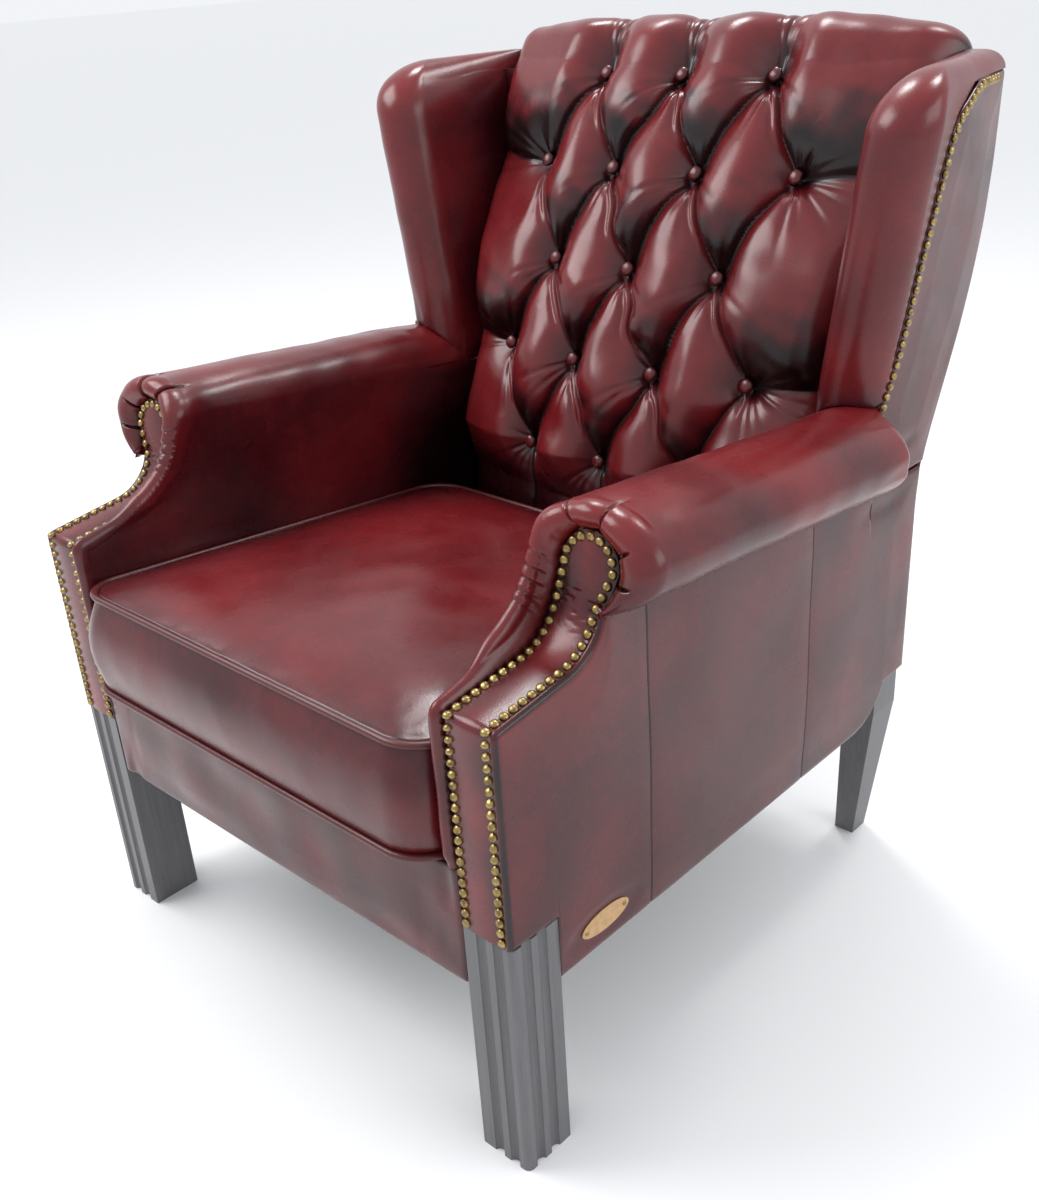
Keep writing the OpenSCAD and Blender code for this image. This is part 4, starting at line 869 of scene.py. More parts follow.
def arm_grid(sizes, seed):
    """The inside arm and its roll as one sheet. Columns run from the seat up the front edge of the
    inside arm, over the roll and under it; rows run from the facing's edge round the padded band to
    the front, and straight back from there. The edge leaves the facing by WEB, read at the length
    climbed from the shoulder, so that it climbs straighter than the sweep. The band has a half-
    round section, and the outer half of the roll closes where the wing begins. Gives the points,
    their normals, how far each is drawn in, and the values of painted light and tone."""
    front, ahead = arm_front(seat_line(0.0), ARM_AXIS_Z - 0.004, ARM_COLS)
    angle = np.linspace(np.pi, -np.arccos((HALF + 0.001 - CREST_X) / ROLL_OUT), ARM_COLS + 1)[1:]
    edge, ahead, rear = arm_edge(front, ahead, angle)
    climbed = run_along(edge)
    climbed = climbed - climbed[np.argmax(front[:, 0] > 0.004)]
    edge = edge + lookup(climbed, WEB, 1.0, 0.012)[:, None] * WEB_WAY

    roll, low_round, low_proud = blurred(by_column(0.0, 1.0), 25), 0.015, 0.0075
    foot = smooth((edge[:, 2] - edge[0, 2]) / 0.02)
    radius = low_round + (sizes.scroll_round - low_round) * roll
    proud = low_proud + (sizes.scroll_proud - low_proud) * roll
    turn = np.linspace(BAND_TURN, 0, 30)[:, None]
    share = (1 - np.cos(turn)) / (1 - np.cos(BAND_TURN))
    reach = proud * (0.3 + 0.7 * foot) - radius + radius * np.sin(turn) ** 0.9
    nose = edge + ahead * reach[..., None] + (facing_edge(front, angle) - edge) * share[..., None]
    run = np.concatenate([0.93 * np.linspace(0, 1, 74)[1:] ** 1.35, np.linspace(0.93, 1, 27)[1:]])
    body = nose[-1] + (rear - nose[-1]) * run[:, None, None]
    grid = np.concatenate([nose, body])
    x, y, _ = np.moveaxis(grid, -1, 0)
    # the outer half closes over its last stretch, down to just inside the wing's width
    shut, stretch = HALF - 0.002, 0.029
    end = np.clip((y - ARM_END_Y + 0.026) / stretch, 0, 1)
    draw = 1 - (1 - np.sqrt(1 - end ** 2)) * smooth((x - HALF + 0.012) / 0.02)
    grid[..., 0] = np.where(x > shut, shut + (x - shut) * draw, x)

    # where each point lies: along the edge, round the band, or behind it
    along = run_along(edge)
    before = along[ARM_COLS] - along
    behind = np.linalg.norm(body - nose[-1], axis=-1)[:, ARM_COLS + 40]
    back = np.concatenate([np.zeros(len(turn)), behind])[:, None]
    turned = np.concatenate([turn, np.full((len(run), 1), -1.0)])
    on_band = turned > 0
    arch = np.where(on_band, np.sin(np.clip(turned, 0, np.pi)), 0.0)
    inside = blurred(by_column(1.0, 0.0), 12)

    slit, lip, near = pleats(along, angle, turned, back, seed)
    creases = band_creases(before, turned)
    full = (1 - np.clip(near, 0, 1)) * roll * arch
    hem = np.where(on_band, bump(turned, 0.35), bump(back, 0.004))
    climb = smooth((0.17 - before) / 0.03) * smooth((before - 0.02) / 0.02)
    pucker_long = 0.0062
    pucker = 0.0005 * np.sin(along * 2 * np.pi / pucker_long + 2 * np.sin(along * 160)) * climb * hem
    seam = 0.0013 * np.where(on_band, 0, bump(back - 0.0035, 0.0022)) * inside * smooth(before / 0.02)
    sag = 0.0006 * ripple(grid, seed + 1, 0.19) + 0.0002 * ripple(grid, seed + 2, 0.06)
    by_wing = np.maximum(0, ripple(grid * [1, 0.3, 1], seed + 3, 0.035))
    by_wing = bump(y - 0.61, 0.035) * by_wing * 0.0012
    amount = sizes.pleat * slit - 0.0016 * lip - 0.0028 * full + 0.0019 * creases - sag + by_wing \
        + pucker + seam
    # the flat of the inside arm only sinks, so that the cushion stays clear of it
    flat = inside * (~on_band)
    amount = np.where(flat > 0.02, np.maximum(amount, 0.0) * flat + amount * (1 - flat), amount)
    belly_high = 0.008
    belly = np.where(on_band, np.cos(np.clip(turned, 0, np.pi / 2)) ** 0.6, bump(back, 0.022))
    stuffed = smooth((climbed - 0.04) / 0.06) * smooth((0.28 - climbed) / 0.06) * belly
    amount = amount - belly_high * stuffed

    # painted highlight over the top of the roll, along the band's arch and along its stuffed belly;
    # painted shade in the pleat slits, in the band's creases, where the band leaves the facing and
    # towards the rear of the inside arm; random tone; lighter on the roll next to the wing
    crest = blurred(by_column(0.40, 0.46 + 0.26 * np.maximum(0, np.sin(angle + 0.35))), 12)
    painted_light_and_tone = crest + 0.18 * arch + 0.10 * ripple(grid, seed + 4, 0.18) - 0.55 * np.clip(slit, 0, 1) \
        - 0.25 * np.clip(creases, 0, 1) - 0.40 * smooth((turned - 2.2) / 0.7) \
        - 0.30 * smooth((y - 0.46) / 0.18) * inside + 0.30 * bump(y - 0.62, 0.035) * (1 - inside) \
        + 0.16 * stuffed
    return grid, normals(grid), amount, painted_light_and_tone


def arm_mesh(sizes, seed):
    """The inside arm as a closed sheet of leather with its wadding."""
    grid, n, amount, painted_light_and_tone = arm_grid(sizes, seed)
    middle = np.array([0.345, 0.4, 0.62])
    way = np.sign(np.einsum("ijk,ijk->ij", n, grid - middle).mean())
    return shell(grid - n * (way * amount)[..., None], sizes.shell * way, painted_light_and_tone)


def facing_mesh(sizes, seed):
    """The ribbon of leather up the arm's front: rows climb the front, then close in a half circle
    round the scroll's head; columns run across it. It swells between its two rows of nails and
    along its outer edge, is drawn down at both edges, and crinkles at the narrow neck."""
    stem = arm_front(LEG_TOP + 0.0008, HEAD_Z, 330)
    turn = np.linspace(0, np.pi / 2, 40)[1:-1]
    head_z = HEAD_Z + HEAD_R * np.sin(turn)
    path = np.concatenate([stem[0], spread(lean_y(head_z), head_z)])
    ahead = np.concatenate([stem[1], np.broadcast_to(SCROLL_WAY, (len(turn), 2))])
    y, z = path[:, :1], path[:, 1:]
    cap = HEAD_R * np.cos(turn)
    sides = []
    for low_x, head_x, way in ((FACE_X, HEAD_X - HEAD_R, -1), (HALF, HEAD_X + HEAD_R, 1)):
        stem_x = np.interp(stem[0][:, 1], [NECK_Z, HEAD_Z], [low_x, head_x])
        sides.append(np.concatenate([stem_x, HEAD_X + way * cap])[:, None])
    left, right = sides
    q = np.sin(np.linspace(-np.pi / 2, np.pi / 2, 52))
    x = (left + right) / 2 + (right - left) / 2 * q
    near_top = np.concatenate([np.ones(len(stem[0])), np.sqrt(1 - np.sin(turn) ** 8)])[:, None]
    edge = np.minimum((1 - np.abs(q)) * (right - left) / 2, 0.004) / 0.004 * near_top
    spot = spread(x, y, z)
    low = smooth((NECK_Z + 0.02 - z) / 0.02)
    row_in, row_out = left + NAIL_EDGE, right - NAIL_EDGE - 0.005 * low
    between = np.clip((x - row_in) / np.maximum(row_out - row_in, 1e-4), 0, 1)
    puff = 0.0024 * np.sin(np.pi * between) ** 0.8 * near_top \
        + 0.0014 * bump(right - x - 0.0045, 0.003) * low
    crinkle = np.maximum(0, ripple(spot * [0.45, 1, 1], seed + 1, 0.0075))
    neck = 0.0006 * bump(z - 0.606, 0.020) * crinkle
    rise = -0.0035 * (1 - np.sqrt(np.maximum(0, 1 - (1 - edge) ** 2))) + (puff - neck) * edge
    grid = np.stack([x, y + ahead[:, :1] * rise, z + ahead[:, 1:] * rise], -1)
    # painted highlight on the swell between the rows of nails, painted shade where the edges are drawn
    # down, and random tone
    painted_light_and_tone = 0.40 + 0.30 * np.sin(np.pi * between) + 0.10 * ripple(spot, seed + 2, 0.09) \
        - 0.35 * (1 - edge)
    return panel(grid, (0, -1, 0), painted_light_and_tone, sizes.shell)


def panel(grid, out, painted_light_and_tone, thick):
    """A sheet whose first face looks the way of out."""
    return shell(grid, thick * np.sign((normals(grid) @ np.asarray(out, float)).mean()), painted_light_and_tone)


def outside_arm_rows(y):
    """Heights of the outside arm's rows at each depth, and its lower and upper edges. A fifth of
    the rows lie below the knee, just over the front leg's top; above it they climb to the sweep,
    the roll or the wing's seam."""
    front = arm_front(LEG_TOP, 0.64, 1200, 0.004)[0]
    climb = front[front[:, 1] > SHOULDER_Z - 0.004]
    roll = axis_z(y) - 0.030
    top = np.where(y < 0.16, np.minimum(np.interp(y, climb[:, 0], climb[:, 1]), roll),
                   np.where(y < ARM_END_Y + 0.0005, roll, SEAM_Z - 0.0005))
    arch = np.interp(y, ARCH_Y - ARCH_RUN * (1 - np.array([0, .35, .65, .85, 1])),
                     np.array([0, .1, .38, .74, 1]) * ARCH_RISE)
    low = np.where(y < LEG_SIZE + 0.0005, LEG_TOP + 0.0008, RAIL_Z) + arch
    low = np.where(y > ARCH_Y, np.maximum(low, REAR_LEG_TOP), low)
    knee, share, t = LEG_TOP + 0.004, 0.2, np.linspace(0, 1, 121)[:, None]
    above = knee + (top - knee) * (t - share) / (1 - share)
    return np.where(t < share, low + (knee - low) * t / share, above), low, top


def outside_arm_mesh(sizes, seed, plated):
    """The outside arm: columns run back from the facing, rows climb from the lower edge, with its
    arch before the rear leg, to the shoulder, the roll and the wing. Two thin upright seams cross
    it, it swells a little between its edges, and where it is plated it lies flat under the oval
    plate."""
    seams, beside = (0.215, 0.515), 0.005
    marks = [(0.0005, 26), (LEG_SIZE, 2), (LEG_SIZE + 0.001, 46), (seams[0] - beside, 20),
             (seams[0] + beside, 80), (seams[1] - beside, 20), (seams[1] + beside, 36), (ARM_END_Y, 2),
             (ARM_END_Y + 0.001, 44), (BODY_D, 0)]
    y = np.concatenate([np.linspace(a, b, n, endpoint=False) for (a, n), (b, _) in zip(marks, marks[1:])]
                       + [[BODY_D - 0.001]])
    z, low, top = outside_arm_rows(y)
    y = np.minimum(np.broadcast_to(y, z.shape), rear_y(z) - 0.0008)
    edge = least(y, z - low, top - z, rear_y(z) - y)
    sink = drawn(edge, 0.006, 0.0045)
    spot = np.stack([y, z], -1)
    seam = bump(y - seams[0], 0.0011) + 0.6 * bump(y - seams[1], 0.0011)
    pull = sum(bump(y - at, 0.010) for at in seams)
    swell = swelled(least(y, z - RAIL_Z, top - z, rear_y(z) - y), 0.06, 0.0026)
    tug = 0.0022 * bump(z - 0.535 + 0.05 * (y - 0.64), 0.012) * smooth((y - 0.60) / 0.05) \
        * smooth((0.74 - y) / 0.05)
    lift = swell - 0.0004 * pull - tug \
        + 0.0007 * ripple(spot, seed + 1, 0.22) * np.clip(edge / 0.03, 0, 1)
    plate = plated * smooth((1.9 - np.hypot((y - PLATE_Y) / 0.0375, (z - PLATE_Z) / 0.0135)) / 0.8)
    lift = lift * (1 - plate) - 0.0002 * plate
    # painted shade along the seams and where the edges are drawn in, random tone, and lighter towards
    # the upper front by the shoulder
    painted_light_and_tone = 0.42 + 0.05 * ripple(spot, seed + 2, 0.17) - 0.40 * seam - 40 * np.minimum(sink, 0.005) \
        + 0.30 * smooth((z - 0.44) / 0.12) * smooth((0.26 - y) / 0.2)
    return panel(np.stack([HALF - sink + lift - 0.0011 * seam, y, z], -1), (1, 0, 0), painted_light_and_tone, sizes.shell)


def outside_wing_mesh(sizes, seed):
    """The outside wing: rows climb, columns run from its nailed front edge to the outside back."""
    z = np.linspace(SEAM_Z + 0.0005, FRAME_H - 0.0003, 150)[:, None]
    y = nail_y(z) + (rear_y(z) - 0.0008 - nail_y(z)) * np.linspace(0, 1, 70)[None, :]
    spot = spread(y, z)
    edge = least(y - nail_y(z), rear_y(z) - y, z - SEAM_Z, FRAME_H - z)
    sink = drawn(edge, 0.005, 0.004)
    tug = 0.0020 * bump(z - 0.60 - 0.10 * (y - 0.70), 0.010) * smooth(edge / 0.02) \
        * smooth((0.76 - y) / 0.05)
    x = wing_x(z, y) - sink + swelled(edge, 0.05, 0.0030, 0.8) \
        + 0.0006 * ripple(spot, seed, 0.20) * np.clip(edge / 0.02, 0, 1) - tug
    # painted shade where the edges are drawn in and along the tug, and random tone
    painted_light_and_tone = 0.42 + 0.05 * ripple(spot, seed + 1, 0.13) - 40 * np.minimum(sink, 0.005) - 60 * tug
    return panel(spread(x, y, z), (1, 0, 0), painted_light_and_tone, sizes.shell)


def wing_point(part, share, z, c, b):
    """Width and depth of the wing's padding in a level: part 0 runs forward along the inner face, 1
    round the front roll, 2 back along the outer face; c draws the sides in and b draws the front
    back. Over the frame the rear and the outer side round in as a quarter circle."""
    h = np.minimum(z, FRAME_H)
    r = WING_R - c
    xc, yc = HALF + flare(h) - WING_R, WING_Y + b
    rear_in = np.minimum(xc - WING_R, BACK_LIMIT) + 0.3 * c - 0.002
    over = 0.020 * (1 - np.sqrt(1 - np.clip((z - FRAME_H) / WING_CREST, 0, 0.99) ** 2))
    rear = rear_y(h) - over
    if part == 0:
        back = np.where(z < FRAME_H, upright_y(h), rear)
        y = back + (yc - back) * share
        return (xc - r) + (rear_in - xc + r) * (yc - y) / (yc - rear), y
    if part == 1:
        a = np.pi * (1 - share)
        return xc + r * np.cos(a), yc - r * np.sin(a)
    return (xc + r) + (HALF - over - xc - r) * share, yc + (rear - yc) * share


def wing_rings():
    """The visible parts of each ring of the wing: inner face, front roll, and outer face as far as
    the nails. The lowest ring stands on the arm roll, 120 rings climb from it, and 33 close over
    the crest."""
    low, turn_z = 0.575, FRAME_H - 2 * WING_CREST
    phi = np.linspace(0, np.pi / 2 * 0.97, 34)[1:]
    levels = np.concatenate([np.linspace(0, 1, 120), np.ones(len(phi))])[:, None]
    turn = np.concatenate([np.zeros(len(levels) - len(phi)), phi])[:, None]
    c, b = WING_R * (1 - np.cos(turn)), CREST_ROUND * (1 - np.cos(turn)) ** 1.1
    crest_z = turn_z + (FRAME_H + WING_CREST - turn_z) * np.sin(turn)

    def height(x, y):
        """Heights of the rings at a width and a depth."""
        wide = np.where(x < CREST_X, ROLL_IN, ROLL_OUT)
        seat = axis_z(y) + ROLL_RISE * np.sqrt(np.maximum(0, 1 - ((x - CREST_X) / wide) ** 2)) - 0.001
        seat = np.where(x > CREST_X + ROLL_OUT, low, seat)
        return np.where(turn > 0, crest_z, seat + (turn_z - seat) * levels)

    z = np.where(turn > 0, crest_z, low + (turn_z - low) * levels)
    limit = (nail_y(z) + 0.016 - WING_Y - b) / (rear_y(np.minimum(z, FRAME_H)) - WING_Y - b)
    limit = np.where(z > FRAME_H, 1.0, np.clip(limit, 0.02, 1))
    parts = []
    for part, n in enumerate(WING_COLS[:3]):
        share = np.linspace(0, 1, n, endpoint=part == 2) * (limit if part == 2 else 1)
        z = 0.62
        for _ in range(3):
            x, y = wing_point(part, share, z, c, b)
            z = height(x, y)
        x, y = wing_point(part, share, z, c, b)
        parts.append(spread(x, y, z))
    return parts


def wing_mesh(seed):
    """The wing's padding as rings from the arm roll up to the crest: inner face, front roll, outer
    face to the nails, and a hidden way back along the board. Above the board's top the outer face
    runs to the rear, and the rings close over the crest."""
    inner_n, roll_n, outer_n, hidden_n = WING_COLS
    parts = wing_rings()
    outer = parts[2]
    y, z = outer[..., 1], outer[..., 2]
    outer[..., 0] -= 0.0072 * smooth((y - nail_y(z) + 0.006) / 0.006) * (z < FRAME_H)
    last, first = outer[:, -1:], parts[0][:, :1]
    by_board = last[..., 2:] < FRAME_H
    start = last - np.where(by_board, 0.022, 0.0) * [1, 0, 0]
    end = first + np.where(by_board, 0.014, 0.0) * [1, 0, 0]
    hidden = start + (end - start) * np.linspace(0, 1, hidden_n + 2)[None, 1:-1, None]
    ring = np.concatenate(parts + [hidden], 1)
    z = ring[..., 2]
    visible = np.concatenate([np.ones(inner_n + roll_n), np.linspace(1, 0, outer_n), np.zeros(hidden_n)])
    out = (ring - ring.mean(1, keepdims=True)) * [1, 1, 0]
    out /= np.maximum(np.linalg.norm(out, axis=-1, keepdims=True), 1e-9)
    sag = 0.0007 * ripple(ring * [1, 1, 0.6], seed, 0.22) + 0.0002 * ripple(ring, seed + 1, 0.06)
    crease = 0.0012 * np.maximum(0, ripple(ring * [1, 1, 0.3], seed + 2, 0.035)) * bump(z - z[0], 0.05)
    ring = ring + out * (visible * (sag - crease - drawn(z - z[0], 0.007, 0.004)))[..., None]
    # painted shade towards the rear of the inner face, and a painted highlight down the front roll
    even = np.concatenate([np.linspace(0.25, 0.55, inner_n), np.full(roll_n, 0.62),
                           np.full(outer_n, 0.55), np.full(hidden_n, 0.3)])
    # random tone, and a painted highlight over the crest
    painted_light_and_tone = even + 0.06 * ripple(ring, seed + 3, 0.13) + 0.22 * smooth((z - 0.92) / 0.10)
    # painted shade at the foot, where the wing meets the arm roll
    return loft(ring, painted_light_and_tone - 0.22 * bump(z - z[0], 0.02))


def border_mesh(sizes):
    """The front border under the cushion, swelling slightly, with its upper edge rolled back."""
    x = np.linspace(-FACE_X + 0.0004, FACE_X - 0.0004, 160)[None, :]
    v = np.linspace(0, 1, 60)[:, None] * 1.06
    top = SEAT_Z - 0.0012
    z = RAIL_Z + (top - RAIL_Z) * np.minimum(1, v)
    spot = spread(x, z)
    edge = least(z - RAIL_Z, top - z, FACE_X - np.abs(x))
    swell = swelled(edge, 0.04, 0.0022) + 0.0010 * ripple(spot, 51, 0.12) * np.clip(edge / 0.03, 0, 1)
    sink = drawn(edge, 0.006, 0.004)
    pull = 0.0014 * np.maximum(0, ripple(spot * [1.0, 0.3], 52, 0.04)) * bump(FACE_X - np.abs(x), 0.05)
    y = -swell + sink + pull + np.maximum(0, v - 1) * 0.08
    # painted shade where the edges are drawn in, and random tone
    painted_light_and_tone = 0.42 + 0.06 * ripple(spot, 53, 0.12) - 0.25 * np.clip(sink / 0.003, 0, 1)
    return panel(spread(x, y, z), (0, -1, 0), painted_light_and_tone, sizes.shell)


def outside_back_mesh(sizes):
    """The outside back, a sheet down the rear with a swell and one seam up its middle."""
    z = np.linspace(RAIL_Z, FRAME_H - 0.0005, 200)[:, None]
    half = np.where(z < REAR_LEG_TOP, UPRIGHT_X - 0.0004, WOOD_X + 0.0050)
    x = half * np.linspace(-1, 1, 140)[None, :]
    spot = spread(x, z)
    edge = least(half - np.abs(x), z - RAIL_Z, FRAME_H - z)
    swell = swelled(edge, 0.08, 0.0035) + 0.0006 * ripple(spot, 61, 0.26) * np.clip(edge / 0.03, 0, 1)
    sink = drawn(edge, 0.006, 0.004)
    seam = bump(x, 0.0016)
    # painted shade along the seam and where the edges are drawn in, and random tone
    painted_light_and_tone = 0.44 + 0.04 * ripple(spot, 62, 0.15) - 0.3 * seam - 40 * sink
    return panel(spread(x, rear_y(z) + swell - sink - 0.0016 * seam, z), (0, 1, 0), painted_light_and_tone, sizes.shell)


def deck_mesh():
    """The seat platform under the cushion: a slightly crowned pad of cloth that lies on the
    webbing."""
    half, front, rear = 0.3255, 0.0065, BODY_D - 0.0645
    x = np.linspace(-half, half, 90)[None, :]
    y = np.linspace(front, rear, 90)[:, None]
    edge = least(half - np.abs(x), y - front, rear - y)
    z = -0.0008 - drawn(edge, 0.01, 0.004) - 0.0006 * np.abs(ripple(spread(x, y), 71, 0.10))
    points, faces, painted_light_and_tone = panel(spread(x, y, z), (0, 0, 1), 0.3, 0.010)
    return on_seat(points), faces, painted_light_and_tone


def strap(path, across, thick=0.0016):
    """A flat band of webbing along a path of points, its width along the direction across."""
    u = np.linspace(-STRAP_WIDE / 2, STRAP_WIDE / 2, 5)[:, None, None]
    return shell(path[None] + u * np.asarray(across, float), thick, 0.5)


def seat_webbing_mesh():
    """Five straps from front to rear and four across, woven over and under each other by turns
    under the platform: each follows a cosine whose sign changes from one crossing to the next."""
    first, level, wave = 0.158, -0.0142, 0.0013
    x, y = np.linspace(-WOOD_X, WOOD_X, 90), np.linspace(0.012, 0.751, 90)
    straps = []
    for i in range(5):
        z = level + wave * np.cos(np.pi * ((y - first) / STRAP_GAP_Y + i))
        straps.append(strap(spread((i - 2) * STRAP_GAP_X, y, z), (1, 0, 0)))
    for j in range(4):
        z = level - wave * np.cos(np.pi * (x / STRAP_GAP_X + 2 + j))
        straps.append(strap(spread(x, first + j * STRAP_GAP_Y, z), (0, 1, 0)))
    points, faces, painted_light_and_tone = joined(straps)
    return on_seat(points), faces, painted_light_and_tone


def back_webbing_mesh():
    """Five straps up the front of the back frame, each bellied a little between the rails."""
    z = np.linspace(0.337, FRAME_H - 0.001, 120)
    belly = 0.0006 * np.sin(np.pi * (z - z[0]) / (z[-1] - z[0]))
    return joined([strap(spread((i - 2) * STRAP_GAP_X, upright_y(z) - 0.0022 - belly, z), (1, 0, 0))
                   for i in range(5)])


def dust_cover_mesh():
    """The cloth tacked under the seat: it hangs in a shallow hollow between the rails, drawn in at
    its edge, and is cut narrower between the front legs and between the rear uprights."""
    y = np.array([0.0065, 0.03, LEG_SIZE - 0.0003, LEG_SIZE + 0.0003, 0.10, 0.641, 0.6416, 0.70, 0.7565])
    half = np.repeat([FACE_X, WOOD_X, UPRIGHT_X], 3) - 0.0008
    rows = [np.linspace(a, b, 3 if b - a < 0.05 else 44, endpoint=False) for a, b in zip(y, y[1:])]
    rows = np.concatenate(rows + [y[-1:]])[:, None]
    x = np.linspace(-1, 1, 110)[None, :] * np.interp(rows, y, half)
    deep = np.clip((0.353 - np.abs(x)) / 0.05, 0, 1) * np.clip((rows - 0.03) / 0.05, 0, 1) \
        * np.clip((0.735 - rows) / 0.05, 0, 1)
    z = RAIL_Z + 0.0006 - 0.0022 * smooth(deep) - 0.0005 * ripple(spread(x, rows), 81, 0.09) * deep
    return panel(spread(x, rows, z), (0, 0, -1), 0.4, 0.0008)


def nail_heads(sizes, centres, ways, seed):
    """Domed nail heads: rings of a low dome turned to each way, each a little tilted and with its own
    random tone value."""
    rng = np.random.default_rng(seed)
    ways = ways + rng.normal(0, 0.05, ways.shape)
    ways /= np.linalg.norm(ways, axis=1, keepdims=True)
    side = np.cross(ways, [0.3, 0.2, 1.0])
    side /= np.linalg.norm(side, axis=1, keepdims=True)
    up = np.cross(ways, side)
    turn = np.linspace(0, 2 * np.pi, 12, endpoint=False)
    wide = np.array([0.92, 1.0, 0.93, 0.70, 0.34]) * sizes.nail_width / 2
    rise = np.array([-0.06, 0.14, 0.50, 0.86, 1.0]) * sizes.nail_rise
    turned = np.cos(turn)[:, None] * side[:, None, None] + np.sin(turn)[:, None] * up[:, None, None]
    lifted = rise[:, None, None] * ways[:, None, None] + centres[:, None, None]
    rings = wide[:, None, None] * turned + lifted
    return joined([loft(ring, painted_light_and_tone) for ring, painted_light_and_tone in zip(rings, rng.uniform(0.2, 0.9, len(centres)))])


def nail_shares(path, sizes):
    """Shares of a path at which its nails stand, at about their pitch."""
    return np.linspace(0, 1, int(run_along(path)[-1] // sizes.nail_pitch) + 1)


def facing_nail_rows(sizes):
    """Centres and ways of the nails: a row near each edge of the facing up to the head, and a half
    ring."""
    path, forward = arm_front(LEG_TOP + NAIL_EDGE, HEAD_Z, 600, 0.003)
    shares = nail_shares(path, sizes)
    yz, way = walk(path, shares), walk(forward, shares)
    ring_r = HEAD_R - NAIL_EDGE + 0.0003
    ends = (FACE_X + NAIL_EDGE, HEAD_X - ring_r), (HALF - 2 * NAIL_EDGE + 0.002, HEAD_X + ring_r)
    rows = [(spread(np.interp(yz[:, 1], [NECK_Z, HEAD_Z], pair), yz[:, 0], yz[:, 1]),
             spread(0.0, way[:, 0], way[:, 1])) for pair in ends]
    n = round(math.pi * ring_r / sizes.nail_pitch)
    a = np.pi * np.arange(1, n) / n
    z = HEAD_Z + ring_r * np.sin(a)
    rows.append((spread(HEAD_X + ring_r * np.cos(a), lean_y(z), z),
                 np.tile([0, *SCROLL_WAY], (n - 1, 1))))
    return [np.concatenate(parts) for parts in zip(*rows)]


def wing_nail_row(sizes):
    """Centres and ways of the nails along the front edge of the outside wing and under its crest.
    Each way is the normal of the outer face, from steps of 4 mm up and back."""
    inset, step = 0.0058, 0.004
    z = np.linspace(SEAM_Z + inset, 0.95 * FRAME_H, 60)
    at, behind, under = np.array([[0.973, 0.64, 0.77], [0.99, 0.32, 0.95], [1, 0.1, 1]]).T
    corner = np.column_stack([nail_y(at * FRAME_H) + behind * inset, at * FRAME_H - under * inset])
    path = np.concatenate([np.column_stack([nail_y(z) + inset, z]), corner,
                           [[ARM_END_Y + NAIL_REACH * 1.32, FRAME_H - inset]]])
    y, z = walk(path, nail_shares(path, sizes)).T
    x = wing_x(z, y)
    up, back = spread(wing_x(z + step, y) - x, 0.0, step), spread(wing_x(z, y + step) - x, step, 0.0)
    way = np.cross(back, up)
    return spread(x, y, z), way / np.linalg.norm(way, axis=1, keepdims=True)


class Build:
    """Shared ground of the operators that build pieces from the sizes."""

    bl_options = {"REGISTER", "UNDO"}

    def execute(self, context):
        """Builds the pieces of this operator."""
        self.build(context.scene.wing_chair_sizes)
        return {"FINISHED"}


